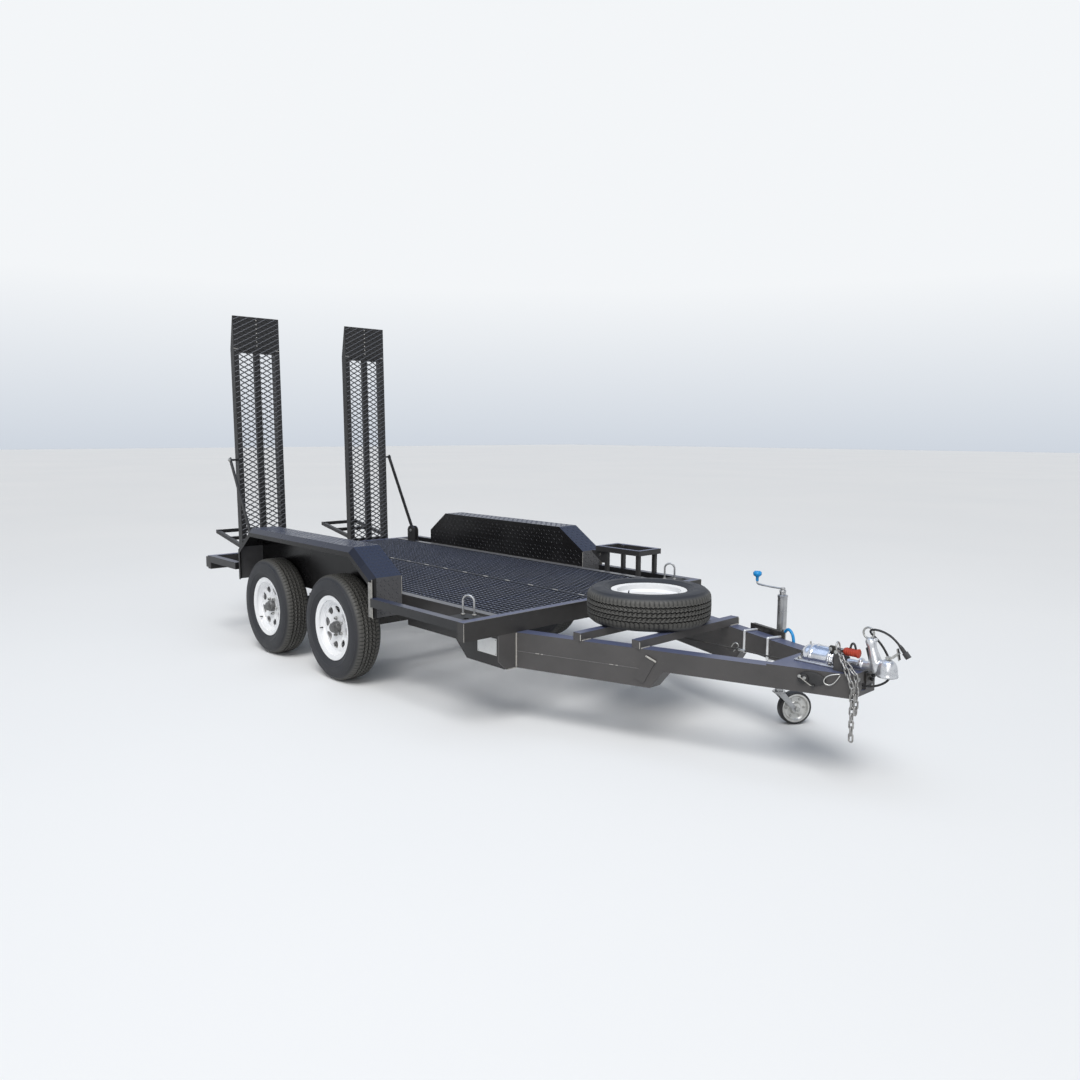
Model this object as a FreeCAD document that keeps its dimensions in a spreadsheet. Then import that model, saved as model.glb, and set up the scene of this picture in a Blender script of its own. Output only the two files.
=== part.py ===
import FreeCAD, Part
import math
import os
import Sketcher
from FreeCAD import Placement, Rotation, Vector

# Plant trailer: a low tandem-axle trailer with an open mesh deck, two upright loading ramps at the
# rear, checker-plate mudguards, an A-frame drawbar with a flat spare wheel, and an override coupling.
# +X points forwards to the coupling, +Y to the trailer's left, +Z up. Lengths are in millimetres.
# The origin lies on the ground under the middle of the whole trailer. The near side is -Y.

doc = FreeCAD.newDocument("plant_trailer")
sheet = doc.addObject("Spreadsheet::Sheet", "Sizes")

DRIVING_SIZES = (
    # Overall frame, measured from the front face of the front beam
    ("front_face_x", 1006, "front face of the front beam ahead of the origin"),
    ("overall_width", 1953, "over the rope rails"),
    ("deck_width", 1520, "between the mudguards"),
    ("deck_length", 3200, "front face to rear face of the deck frame"),
    ("deck_top", 600, "height of the deck above the ground"),
    ("beam_depth", 100, "front beam, rear beam and side rails"),
    ("beam_thick", 50, "front beam, rear beam and side rails"),
    ("rope_rail_size", 50, "square rope rail"),
    ("sheet_thick", 4, "deck sheet"),
    ("sheet_drop", 2, "deck sheet below the top of the rails"),
    ("sheet_gap", 4, "seam between the two deck sheets"),
    ("cross_width", 45, "flange of a cross member"),
    ("cross_wall", 5, "wall of a cross member"),
    ("cross_count", 7, "number of cross members"),
    # Corner plates and tie hoops
    ("corner_plate_thick", 6, "corner plate"),
    ("corner_plate_reach", 190, "corner plate behind the front face"),
    ("corner_plate_inner", 40, "inner edge of the corner plate beyond the deck"),
    ("corner_hole_radius", 15, "strap hole in the corner plate"),
    ("hoop_rod_radius", 6, "rod of a tie hoop"),
    ("hoop_width", 65, "between the legs of a tie hoop"),
    ("hoop_height", 108, "crown of a tie hoop above its plate"),
    ("hoop_turn", 25.4, "degrees that a tie hoop is turned from the trailer's length"),
    ("hoop_behind", 145, "middle of a tie hoop behind the front face"),
    ("hoop_out", 70, "middle of a tie hoop beyond the deck"),
    # Mudguards
    ("guard_width", 203, "mudguard across"),
    ("guard_thick", 3, "mudguard plate"),
    ("guard_front", 868, "front plate behind the front face"),
    ("guard_top_front", 1111, "front end of the level top"),
    ("guard_top_rear", 2485, "rear end of the level top"),
    ("guard_rear", 2700, "rear plate behind the front face"),
    ("guard_top", 868, "height of the level top"),
    ("guard_bend", 713, "height where the slants meet the end plates"),
    ("guard_bottom", 480, "lower edge"),
    ("guard_fold", 30, "sloped fold along the outer edge"),
    ("guard_lip", 58, "outer strip above the wheel opening, the fold included"),
    ("guard_leg", 46, "outer strip beside the wheel opening"),
    # Drawbar and chassis rails
    ("rail_depth", 100, "upper rail"),
    ("rail_thick", 75, "upper and lower rail"),
    ("lower_rail_depth", 90, "lower rail"),
    ("drawbar_angle", 18.16, "degrees that a drawbar rail turns in"),
    ("drawbar_half_width", 627, "outer corner of a drawbar rail at the front face"),
    ("drawbar_reach", 1600, "tip of the drawbar ahead of the front face"),
    ("lower_rail_top_reach", 783, "lower rail at its upper edge"),
    ("lower_rail_bottom_reach", 717, "lower rail at its lower edge"),
    ("chassis_rail_out", 700, "outer face of a chassis rail from the centre line"),
    ("chassis_rail_rear", 900, "rear end of the chassis rail behind the front face"),
    ("chassis_taper_top", 430, "rear end of the lower stage at its upper edge"),
    ("chassis_taper_bottom", 330, "rear end of the lower stage at its lower edge"),
    ("strap_low_x", 662, "foot of the slanted strap ahead of the front face"),
    ("strap_low_z", 352, "foot of the slanted strap above the ground"),
    ("strap_high_x", 722, "head of the slanted strap ahead of the front face"),
    ("strap_high_z", 470, "head of the slanted strap above the ground"),
    ("strap_half", 26, "half the width of the slanted strap"),
    ("strap_drop", 22, "slant of its ends"),
    ("strap_thick", 6, "slanted strap"),
    ("end_plate_thick", 10, "joint plate between drawbar and chassis rail"),
    ("end_plate_outer", 747, "outer edge of the joint plate"),
    ("end_plate_corner", 694, "foot of its cut corner"),
    ("end_plate_corner_rise", 50, "height of its cut corner"),
    ("nose_plate_thick", 8, "plates that close the nose"),
    ("nose_plate_length", 350, "coupling plate on top of the nose"),
    # Spare wheel carrier
    ("carrier_depth", 40, "spare wheel bars"),
    ("carrier_width", 50, "spare wheel bars"),
    ("carrier_rear_x", 340, "middle of the rear bar ahead of the front face"),
    ("carrier_front_x", 645, "middle of the front bar ahead of the front face"),
    ("carrier_overhang", 2, "bar beyond the drawbar's outer face"),
    ("spare_x", 391, "spare wheel ahead of the front face"),
    ("spare_y", -20, "spare wheel from the centre line"),
    # Wheels
    ("front_axle_x", 1390, "front axle behind the front face"),
    ("axle_spacing", 900, "between the axles"),
    ("wheel_out", 862, "middle of the tyre from the centre line"),
    ("tyre_radius", 333, "tyre"),
    ("tyre_width", 186, "tyre"),
    ("bead_radius", 178, "seat of the tyre on the rim"),
    ("lip_radius", 204, "edge of the rim"),
    ("rim_width", 152, "over the lips of the rim"),
    ("rim_wall", 6, "rim"),
    ("rim_holes", 8, "openings round the wheel disc"),
    ("spindle_radius", 20, "axle spindle"),
    ("running_gap", 0.05, "radial clearance of a shaft"),
    ("axle_size", 50, "square axle beam"),
    ("axle_half_length", 752, "axle beam from the centre line"),
    # Springs
    ("spring_out", 725, "middle of a spring from the centre line"),
    ("spring_width", 45, "leaf"),
    ("leaf_thick", 7, "leaf"),
    ("leaf_count", 4, "leaves in a spring"),
    ("spring_reach", 280, "half the length of the main leaf"),
    ("spring_rise", 45, "ends of the main leaf above its middle"),
    ("eye_radius", 16, "spring eye"),
    ("hanger_length", 80, "spring hanger along the rail"),
    ("hanger_wall", 5, "spring hanger plates"),
    # Ramps, measured from their hinge line
    ("hinge_behind", 25, "hinge line behind the rear face"),
    ("hinge_height", 575, "hinge line above the ground"),
    ("hinge_pin_radius", 9, "hinge pin"),
    ("hinge_barrel_radius", 17, "barrel round the hinge pin"),
    ("ramp_out", 489, "middle of a ramp from the centre line"),
    ("ramp_width", 378, "ramp"),
    ("ramp_length", 1862, "ramp above its hinge line"),
    ("ramp_face", 19, "driving face behind the hinge line"),
    ("ramp_depth", 62, "stile"),
    ("ramp_stile", 40, "stile"),
    ("ramp_toe", 250, "closed wedge at the free end"),
    ("ramp_toe_edge", 8, "thickness of the wedge at its edge"),
    ("ramp_foot", 12, "foot of the stiles above the hinge line"),
    ("ramp_lean", 0.68, "degrees that an upright ramp leans back"),
    ("ramp_rungs", 2, "rungs behind the mesh, at the foot and under the toe"),
    ("rung_size", 30, "rung"),
    ("rib_width", 46, "centre rib"),
    ("mesh_thick", 3, "ramp mesh"),
    ("leg_reach", 545, "end of a prop leg behind the hinge line"),
    ("leg_height", 145, "end of a prop leg above the hinge line"),
    ("leg_start_height", 45, "root of a prop leg above the hinge line"),
    ("leg_size", 28, "prop leg"),
    # Ramp stays
    ("stay_height", 750, "pivot of a stay above the hinge line"),
    ("stay_out", 726, "inner face of a stay from the centre line"),
    ("stay_thick", 10, "stay bar"),
    ("stay_width", 30, "stay bar"),
    ("stay_pin_radius", 8, "stay pivot"),
    ("stay_foot_x", 2925, "lower pin of a stay behind the front face"),
    ("stay_foot_height", 692, "lower pin of a stay above the ground"),
    ("ear_length", 110, "ear of the stay bracket"),
    ("ear_height", 130, "ear of the stay bracket"),
    ("ear_thick", 6, "ear of the stay bracket"),
    ("ear_gap", 8, "between an ear and the stay"),
    # Bucket rest on the far side
    ("rest_front", 340, "front end of the bucket rest behind the front face"),
    ("rest_length", 395, "bucket rest"),
    ("rest_height", 168, "top of the bucket rest above the deck"),
    ("rest_depth", 35, "its frame"),
    ("rest_wall", 30, "its frame seen from above"),
    ("rest_post", 25, "its posts"),
    ("rest_rear_inset", 78, "rear posts from the end of the frame"),
    ("rest_front_inset", 12, "front posts from the end of the frame"),
    ("rest_gusset", 130, "slanted brace under its rear end"),
    # Jockey stand, measured from the front face and the centre line
    ("stand_x", 945, "jockey tube"),
    ("stand_y", 405, "jockey tube"),
    ("stand_radius", 25, "outer tube"),
    ("stand_wall", 3.5, "outer tube"),
    ("stand_top", 700, "top of the outer tube"),
    ("stand_bottom", 335, "bottom of the outer tube"),
    ("leg_tube_gap", 0.3, "between the two tubes"),
    ("leg_tube_top", 545, "top of the inner tube"),
    ("leg_tube_bottom", 185, "bottom of the inner tube"),
    ("cap_radius", 16, "screw housing on top of the tube"),
    ("cap_height", 28, "screw housing on top of the tube"),
    ("crank_length", 150, "crank arm"),
    ("crank_rod", 5, "crank rod radius"),
    ("crank_knob_height", 85, "top of the knob above the crank arm"),
    ("jockey_radius", 90, "jockey wheel"),
    ("jockey_width", 50, "jockey wheel"),
    ("jockey_trail", 90, "jockey wheel from the swivel"),
    ("jockey_heading", 57, "degrees that the jockey wheel trails from the trailer's length"),
    ("jockey_pin_radius", 8, "jockey wheel pin"),
    ("fork_plate", 4, "fork cheek"),
    ("fork_gap", 6, "between the cheek and the wheel"),
    ("pivot_height", 470, "swing pivot of the stand"),
    ("pivot_radius", 14, "swing pivot of the stand"),
    ("bracket_length", 270, "bracket along the rail"),
    ("bracket_depth", 110, "bracket plate"),
    ("bracket_thick", 8, "bracket plate"),
    ("lever_along", 48, "pin of the swing lever ahead of the stand"),
    ("bracket_rise", 30, "bracket above the rail"),
    ("bolt_rod", 6, "rod of a rail bolt"),
    ("bolt_spacing", 180, "between the two rail bolts"),
    # Coupling
    ("shaft_radius", 22, "coupling shaft"),
    ("shaft_height", 531, "axis of the shaft above the ground"),
    ("housing_behind", 300, "rear end of the housing behind the tip of the drawbar"),
    ("housing_length", 195, "housing"),
    ("housing_half_width", 41, "housing"),
    ("housing_shoulder", 22, "straight side of the housing"),
    ("housing_rounding", 24, "rounding of the housing's ends"),
    ("flange_half", 68, "foot flange of the housing, half its width"),
    ("flange_thick", 9, "foot flange of the housing"),
    ("trigger_width", 22, "release trigger"),
    ("socket_ahead", 110, "centre of the ball socket ahead of the tip of the drawbar"),
    ("socket_radius", 25.4, "bore for the ball"),
    ("socket_depth", 30, "straight bore for the ball"),
    ("dome_radius", 42, "outside of the socket"),
    ("dome_bottom", 504, "mouth of the socket above the ground"),
    ("dome_top", 580, "top of the dome above the ground"),
    ("post_lean", 17, "degrees that the hand post leans back"),
    ("post_length", 138, "hand post"),
    ("post_root_radius", 23, "hand post"),
    ("post_tip_radius", 16, "hand post"),
    ("eye_ring_radius", 24, "eye on top of the post"),
    ("eye_rod_radius", 4.5, "eye on top of the post"),
    ("brake_pivot_behind", 126, "handbrake pivot behind the tip of the drawbar"),
    ("brake_pivot_height", 592, "handbrake pivot above the ground"),
    ("brake_out", 46, "middle of the handbrake lever from the centre line"),
    ("brake_length", 130, "handbrake lever"),
    ("grip_radius", 13, "handbrake grip"),
    ("grip_length", 70, "handbrake grip"),
    # Safety chains
    ("link_length", 46, "chain link"),
    ("link_width", 26, "chain link"),
    ("link_rod", 8, "chain link"),
    ("link_gap", 0.8, "play between two links"),
    ("high_links", 14, "links of the chain from the upper hole"),
    ("low_links", 9, "links of the chain from the lower hole"),
    ("brake_cable_y", 60, "brake cable from the centre line"),
    ("brake_cable_z", 462, "brake cable above the ground"),
    ("lead_radius", 5, "plug lead"),
    ("plug_half", 17, "half the width of the plug"),
    ("plug_thick", 14, "plug"),
    ("plug_length", 30, "plug"),
    ("chain_out", 88, "chain post from the centre line"),
    ("chain_post_behind", 58, "middle of the chain post behind the drawbar's tip"),
    ("chain_post_thick", 6, "chain post"),
    ("chain_hole", 11, "radius of the holes in the chain post"),
    ("chain_high_x", -16, "upper hole ahead of the middle of the chain post"),
    ("chain_high_z", 88, "upper hole above the nose plate"),
    ("chain_low_x", 16, "lower hole ahead of the middle of the chain post"),
    ("chain_low_z", 22, "lower hole above the nose plate"),
    ("lead_hole_half", 20, "half the opening for the plug lead"),
    ("lead_hole_bottom", 421, "opening for the plug lead above the ground"),
    # Small parts
    ("plate_width", 160, "bare plate on the chassis rail"),
    ("plate_height", 92, "bare plate on the chassis rail"),
    ("plate_thick", 2, "bare plate on the chassis rail"),
    ("lamp_width", 190, "rear lamp"),
    ("lamp_height", 80, "rear lamp"),
    ("lamp_depth", 35, "rear lamp"),
)


class Size:
    """A value of the sheet or a sum made from such values: its number, and the expression for it."""

    def __init__(self, number, text):
        self.number = float(number)
        self.text = text

    def __add__(self, other):
        other = as_size(other)
        return Size(self.number + other.number, f"({self.text} + {other.text})")

    def __sub__(self, other):
        other = as_size(other)
        return Size(self.number - other.number, f"({self.text} - {other.text})")

    def __mul__(self, other):
        other = as_size(other)
        return Size(self.number * other.number, f"({self.text} * {other.text})")

    def __truediv__(self, other):
        other = as_size(other)
        return Size(self.number / other.number, f"({self.text} / {other.text})")

    def __radd__(self, other):
        return as_size(other) + self

    def __rsub__(self, other):
        return as_size(other) - self

    def __rmul__(self, other):
        return as_size(other) * self

    def __neg__(self):
        return Size(-self.number, f"(-{self.text})")


def as_size(value):
    return value if isinstance(value, Size) else Size(value, repr(float(value)))


def sine(degrees):
    return Size(math.sin(math.radians(degrees.number)), f"sin({degrees.text})")


def cosine(degrees):
    return Size(math.cos(math.radians(degrees.number)), f"cos({degrees.text})")


def tangent(degrees):
    return Size(math.tan(math.radians(degrees.number)), f"tan({degrees.text})")


class Names:
    """Holds one Size for each alias of the sheet."""


size = Names()
for row, (alias, number, meaning) in enumerate(DRIVING_SIZES, start=1):
    sheet.set(f"A{row}", meaning)
    sheet.set(f"B{row}", str(number))
    sheet.setAlias(f"B{row}", alias)
    setattr(size, alias, Size(number, f"Sizes.{alias}"))
doc.recompute()

nodes = []
front_x = size.front_face_x
rear_x = front_x - size.deck_length


def vector(point):
    return Vector(*(as_size(value).number for value in point))


def place(thing, x=0, y=0, z=0, turn=None):
    """Puts a piece at x, y, z, turned if asked, with its place bound to the sheet."""
    thing.Placement = Placement(vector((x, y, z)), turn or Rotation())
    for name, value in zip("xyz", (x, y, z)):
        thing.setExpression(f"Placement.Base.{name}", as_size(value).text)
    return thing


def keep(thing):
    """Notes a finished sub-part, which is written under its own label."""
    nodes.append(thing)
    return thing


def box(label, x, y, z, length, width, height, turn=None):
    thing = doc.addObject("Part::Box", label)
    thing.Label = label
    for name, value in (("Length", length), ("Width", width), ("Height", height)):
        thing.setExpression(name, as_size(value).text)
    return place(thing, x, y, z, turn)


def cylinder(label, x, y, z, radius, height, turn=None):
    thing = doc.addObject("Part::Cylinder", label)
    thing.Label = label
    thing.setExpression("Radius", as_size(radius).text)
    thing.setExpression("Height", as_size(height).text)
    return place(thing, x, y, z, turn)


def group(label, things):
    """Like pieces that don't touch and share one sub-part."""
    thing = doc.addObject("Part::Compound", label)
    thing.Label = label
    thing.Links = things
    return thing


def fuse(label, things):
    thing = doc.addObject("Part::MultiFuse", label)
    thing.Label = label
    thing.Shapes = things
    return thing


def cut(label, base, tool):
    thing = doc.addObject("Part::Cut", label)
    thing.Label = label
    thing.Base = base
    thing.Tool = tool
    return thing


def common(label, base, tool):
    thing = doc.addObject("Part::MultiCommon", label)
    thing.Label = label
    thing.Shapes = [base, tool]
    return thing


def mirrored(label, source):
    """The same piece on the other side of the centre line."""
    thing = doc.addObject("Part::Mirroring", label)
    thing.Label = label
    thing.Source = source
    thing.Normal = Vector(0, 1, 0)
    return thing


def new_body(label):
    body = doc.addObject("PartDesign::Body", label)
    body.Label = label
    return body


def new_sketch(body, role, offset=0):
    sketch = body.newObject("Sketcher::SketchObject", f"{body.Label}_sketch")
    plane = next(item for item in body.Origin.OriginFeatures if item.Role == role)
    sketch.AttachmentSupport = [(plane, "")]
    sketch.MapMode = "FlatFace"
    sketch.setExpression("AttachmentOffset.Base.z", as_size(offset).text)
    return sketch


def hold(sketch, kind, value, *where):
    """Adds one dimension to a sketch and binds it to the sheet."""
    value = as_size(value)
    index = sketch.addConstraint(Sketcher.Constraint(kind, *where, value.number))
    sketch.setExpression(f"Constraints[{index}]", value.text)


def hold_point(sketch, geometry, end, x, y):
    hold(sketch, "DistanceX", x, -1, 1, geometry, end)
    hold(sketch, "DistanceY", y, -1, 1, geometry, end)


def draw_outline(sketch, points):
    """A closed outline of straight lines, each corner held by its own two dimensions."""
    first = sketch.GeometryCount
    ends = points[1:] + points[:1]
    for start, end in zip(points, ends):
        line = Part.LineSegment(vector((*start, 0)), vector((*end, 0)))
        sketch.addGeometry(line, False)
    for index in range(len(points)):
        following = first + (index + 1) % len(points)
        sketch.addConstraint(Sketcher.Constraint("Coincident", first + index, 2, following, 1))
    for index, (x, y) in enumerate(points):
        hold_point(sketch, first + index, 1, x, y)


def draw_circle(sketch, x, y, radius):
    index = sketch.addGeometry(Part.Circle(vector((x, y, 0)), Vector(0, 0, 1), as_size(radius).number), False)
    hold_point(sketch, index, 3, x, y)
    hold(sketch, "Radius", radius, index)


def draw_arch(sketch, half, base, spring_line):
    """A closed arch: a flat base, two upright sides and a half-round top."""
    half, base, spring_line = as_size(half), as_size(base), as_size(spring_line)
    floor, right, crown, left = range(4)
    sketch.addGeometry(Part.LineSegment(vector((-half, base, 0)), vector((half, base, 0))), False)
    sketch.addGeometry(Part.LineSegment(vector((half, base, 0)), vector((half, spring_line, 0))), False)
    sketch.addGeometry(Part.ArcOfCircle(
        Part.Circle(vector((0, spring_line, 0)), Vector(0, 0, 1), half.number), 0, math.pi), False)
    sketch.addGeometry(Part.LineSegment(vector((-half, spring_line, 0)), vector((-half, base, 0))), False)
    for first, first_end, second, second_end in ((floor, 2, right, 1), (right, 2, crown, 1),
                                                 (crown, 2, left, 1), (left, 2, floor, 1)):
        sketch.addConstraint(Sketcher.Constraint("Coincident", first, first_end, second, second_end))
    hold_point(sketch, floor, 1, -half, base)
    hold_point(sketch, floor, 2, half, base)
    hold_point(sketch, right, 2, half, spring_line)
    hold_point(sketch, left, 1, -half, spring_line)
    hold(sketch, "DistanceY", spring_line, -1, 1, crown, 3)


def pad(body, sketch, length, side="Symmetric"):
    feature = body.newObject("PartDesign::Pad", f"{body.Label}_pad")
    feature.Profile = sketch
    feature.SideType = side
    feature.setExpression("Length", as_size(length).text)
    return feature


def prism(label, role, points, length, holes=()):
    """A piece of one outline, with round holes as (x, y, radius), equally thick both ways."""
    body = new_body(label)
    sketch = new_sketch(body, role)
    draw_outline(sketch, points)
    for x, y, radius in holes:
        draw_circle(sketch, x, y, radius)
    pad(body, sketch, length)
    return body


def revolved(label, points, role="XY_Plane"):
    """A piece turned about the V axis of its sketch: the outline's points are (radius, width)."""
    body = new_body(label)
    sketch = new_sketch(body, role)
    draw_outline(sketch, points)
    feature = body.newObject("PartDesign::Revolution", f"{label}_turn")
    feature.Profile = sketch
    feature.ReferenceAxis = (sketch, ["V_Axis"])
    feature.Angle = 360
    return body


# Deck frame: a front and a rear beam with two side rails between them. Channels run across under
# the deck sheets, with their tops level with the underside of the sheets.
half_width = size.overall_width / 2
half_deck = size.deck_width / 2
frame_bottom = size.deck_top - size.beam_depth
bay_length = size.deck_length - 2 * size.beam_thick
sheet_bottom = size.deck_top - size.sheet_drop - size.sheet_thick
cross_depth = sheet_bottom - frame_bottom
rail_inner = half_deck - size.beam_thick

keep(box("front_beam", front_x - size.beam_thick, -half_width, frame_bottom,
         size.beam_thick, size.overall_width, size.beam_depth))
keep(box("rear_beam", rear_x, -half_width, frame_bottom,
         size.beam_thick, size.overall_width, size.beam_depth))

side_rail_far = box("side_rail_far", rear_x + size.beam_thick, rail_inner, frame_bottom,
                    bay_length, size.beam_thick, size.beam_depth)
keep(group("deck_side_rails", [side_rail_far, mirrored("side_rail_near", side_rail_far)]))

channel_outline = [
    (0, 0), (size.cross_width, 0), (size.cross_width, size.cross_wall),
    (size.cross_wall, size.cross_wall), (size.cross_wall, cross_depth - size.cross_wall),
    (size.cross_width, cross_depth - size.cross_wall), (size.cross_width, cross_depth), (0, cross_depth),
]
cross_members = []
bays = size.cross_count + 1
for number in range(int(size.cross_count.number)):
    member = prism(f"cross_member_{number + 1}", "XZ_Plane", channel_outline, 2 * rail_inner)
    place(member, front_x - size.deck_length * (number + 1) / bays, 0, frame_bottom)
    cross_members.append(member)
keep(group("deck_cross_members", cross_members))

sheet_width = rail_inner - size.sheet_gap / 2
deck_sheet_far = box("deck_sheet_far", rear_x + size.beam_thick, size.sheet_gap / 2, sheet_bottom,
                     bay_length, sheet_width, size.sheet_thick)
keep(deck_sheet_far)
keep(mirrored("deck_sheet_near", deck_sheet_far))

# Rope rails: square tube along both sides, in front of and behind the mudguards.
rope_inner = half_width - size.rope_rail_size
rope_bottom = size.deck_top - size.rope_rail_size
front_rope = box("front_rope_rail_far", front_x - size.guard_front, rope_inner, rope_bottom,
                 size.guard_front - size.beam_thick, size.rope_rail_size, size.rope_rail_size)
rear_rope = box("rear_rope_rail_far", rear_x + size.beam_thick, rope_inner, rope_bottom,
                size.deck_length - size.beam_thick - size.guard_rear,
                size.rope_rail_size, size.rope_rail_size)
keep(group("rope_rails", [front_rope, mirrored("front_rope_rail_near", front_rope),
                          rear_rope, mirrored("rear_rope_rail_near", rear_rope)]))

# Corner plates: flush plates between the front beam, the rope rail and the deck, each with a strap
# hole and a rod hoop that is welded on by its two feet.
corner_inner = half_deck + size.corner_plate_inner
corner_outline = [
    (-size.beam_thick, rope_inner), (-size.beam_thick, corner_inner),
    (-size.corner_plate_reach * 0.65, corner_inner),
    (-size.corner_plate_reach, corner_inner + size.beam_thick / 2),
    (-size.corner_plate_reach, rope_inner),
]
corner_hole = (-size.corner_plate_reach * 0.42, rope_inner - 2 * size.corner_hole_radius,
               size.corner_hole_radius)
corner_far = prism("corner_plate_far", "XY_Plane", corner_outline, size.corner_plate_thick, [corner_hole])
place(corner_far, front_x, 0, size.deck_top - size.corner_plate_thick / 2)
keep(group("corner_plates", [corner_far, mirrored("corner_plate_near", corner_far)]))


def rod_hoop(label, width, height, rod_radius):
    """A bent rod: two legs and a round crown in the XZ plane, with its feet at z = 0."""
    body = new_body(label)
    path = new_sketch(body, "XZ_Plane")
    half = width / 2
    spring_line = height - rod_radius - half
    left, crown, right = range(3)
    path.addGeometry(Part.LineSegment(vector((-half, 0, 0)), vector((-half, spring_line, 0))), False)
    path.addGeometry(Part.ArcOfCircle(
        Part.Circle(vector((0, spring_line, 0)), Vector(0, 0, 1), half.number), 0, math.pi), False)
    path.addGeometry(Part.LineSegment(vector((half, spring_line, 0)), vector((half, 0, 0))), False)
    path.addConstraint(Sketcher.Constraint("Coincident", left, 2, crown, 2))
    path.addConstraint(Sketcher.Constraint("Coincident", crown, 1, right, 1))
    hold_point(path, left, 1, -half, 0)
    hold_point(path, left, 2, -half, spring_line)
    hold_point(path, right, 1, half, spring_line)
    hold_point(path, right, 2, half, 0)
    hold(path, "DistanceY", spring_line, -1, 1, crown, 3)
    profile = new_sketch(body, "XY_Plane")
    draw_circle(profile, -half, 0, rod_radius)
    pipe = body.newObject("PartDesign::AdditivePipe", f"{label}_pipe")
    pipe.Profile = profile
    pipe.Spine = (path, ["Edge1", "Edge2", "Edge3"])
    return body


hoops = []
for side, y in (("near", -half_deck - size.hoop_out), ("far", half_deck + size.hoop_out)):
    hoop = rod_hoop(f"tie_hoop_{side}", size.hoop_width, size.hoop_height, size.hoop_rod_radius)
    hoops.append(place(hoop, front_x - size.hoop_behind, y, size.deck_top,
                       Rotation(Vector(0, 0, 1), size.hoop_turn.number)))
keep(group("tie_hoops", hoops))

# Mudguards: folded plate with a level top, two slants and two upright ends, a sloped fold along
# the outer edge, and an open wheel arch. The inner wall stands against the side rail.
guard_outline = [
    (-size.guard_front, size.guard_bottom), (-size.guard_front, size.guard_bend),
    (-size.guard_top_front, size.guard_top), (-size.guard_top_rear, size.guard_top),
    (-size.guard_rear, size.guard_bend), (-size.guard_rear, size.guard_bottom),
]


def mudguard(label):
    body = new_body(label)
    sketch = new_sketch(body, "XZ_Plane")
    draw_outline(sketch, guard_outline)
    shell = pad(body, sketch, size.guard_width)
    doc.recompute()
    outer = max(range(len(shell.Shape.Faces)), key=lambda item: shell.Shape.Faces[item].CenterOfMass.y)
    lowest = size.guard_bottom.number + 1
    edges = [f"Edge{number}" for number, edge in enumerate(shell.Shape.Edges, start=1)
             if edge.BoundBox.ZMax > lowest
             and any(edge.isSame(other) for other in shell.Shape.Faces[outer].Edges)]
    fold = body.newObject("PartDesign::Chamfer", f"{label}_fold")
    fold.Base = (shell, edges)
    fold.setExpression("Size", size.guard_fold.text)
    doc.recompute()
    faces = [f"Face{number}" for number, face in enumerate(fold.Shape.Faces, start=1)
             if face.BoundBox.ZMax < lowest]
    walls = body.newObject("PartDesign::Thickness", f"{label}_walls")
    walls.Base = (fold, faces)
    walls.setExpression("Value", size.guard_thick.text)
    walls.Join = 1
    walls.Reversed = True
    doc.recompute()
    opening = new_sketch(body, "XZ_Plane", -size.guard_width / 2)
    low = size.guard_bottom - size.guard_leg
    shoulder = size.guard_bend - size.guard_lip * 0.7
    crown = size.guard_top - size.guard_lip
    draw_outline(opening, [
        (-size.guard_front - size.guard_leg, low), (-size.guard_front - size.guard_leg, shoulder),
        (-size.guard_top_front - size.guard_lip * 0.3, crown), (-size.guard_top_rear + size.guard_lip * 0.3, crown),
        (-size.guard_rear + size.guard_leg, shoulder), (-size.guard_rear + size.guard_leg, low),
    ])
    arch = body.newObject("PartDesign::Pocket", f"{label}_arch")
    arch.Profile = opening
    arch.SideType = "Symmetric"
    arch.setExpression("Length", (2 * size.guard_fold).text)
    doc.recompute()
    assert arch.Shape.Volume < walls.Shape.Volume
    return body


guard_far = place(mudguard("mudguard_far"), front_x, half_deck + size.guard_width / 2, 0)
keep(guard_far)
keep(mirrored("mudguard_near", guard_far))

# Chassis rails under the deck frame, tapered below at the rear, and the joint plates on their
# front ends that the drawbar rails butt against.
rail_top = frame_bottom
rail_bottom = rail_top - size.rail_depth
lower_bottom = rail_bottom - size.lower_rail_depth
chassis_outline = [
    (-size.end_plate_thick, lower_bottom), (-size.chassis_taper_bottom, lower_bottom),
    (-size.chassis_taper_top, rail_bottom), (-size.chassis_rail_rear, rail_bottom),
    (-size.chassis_rail_rear, rail_top), (-size.end_plate_thick, rail_top),
]
chassis_far = prism("chassis_rail_far", "XZ_Plane", chassis_outline, size.rail_thick)
place(chassis_far, front_x, size.chassis_rail_out - size.rail_thick / 2, 0)
keep(group("chassis_rails", [chassis_far, mirrored("chassis_rail_near", chassis_far)]))

end_plate_outline = [
    (size.end_plate_outer, rail_top), (size.chassis_rail_out - size.rail_thick, rail_top),
    (size.chassis_rail_out - size.rail_thick, lower_bottom), (size.end_plate_corner, lower_bottom),
    (size.end_plate_outer, lower_bottom + size.end_plate_corner_rise),
]
end_plate_far = prism("end_plate_far", "YZ_Plane", end_plate_outline, size.end_plate_thick)
place(end_plate_far, front_x - size.end_plate_thick / 2, 0, 0)
keep(group("drawbar_end_plates", [end_plate_far, mirrored("end_plate_near", end_plate_far)]))

# Drawbar: an upper and a lower rail on each side run in to the nose. The lower rail stops under
# the spare wheel with a slanted front end.
across = size.rail_thick / cosine(size.drawbar_angle)
slope = tangent(size.drawbar_angle)


def outer_face(distance):
    """How far the drawbar's outer face is from the centre line, that far ahead of the front face."""
    return size.drawbar_half_width - distance * slope


def rail_plan(reach):
    return [(0, outer_face(0)), (reach, outer_face(reach)),
            (reach, outer_face(reach) - across), (0, outer_face(0) - across)]


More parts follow.
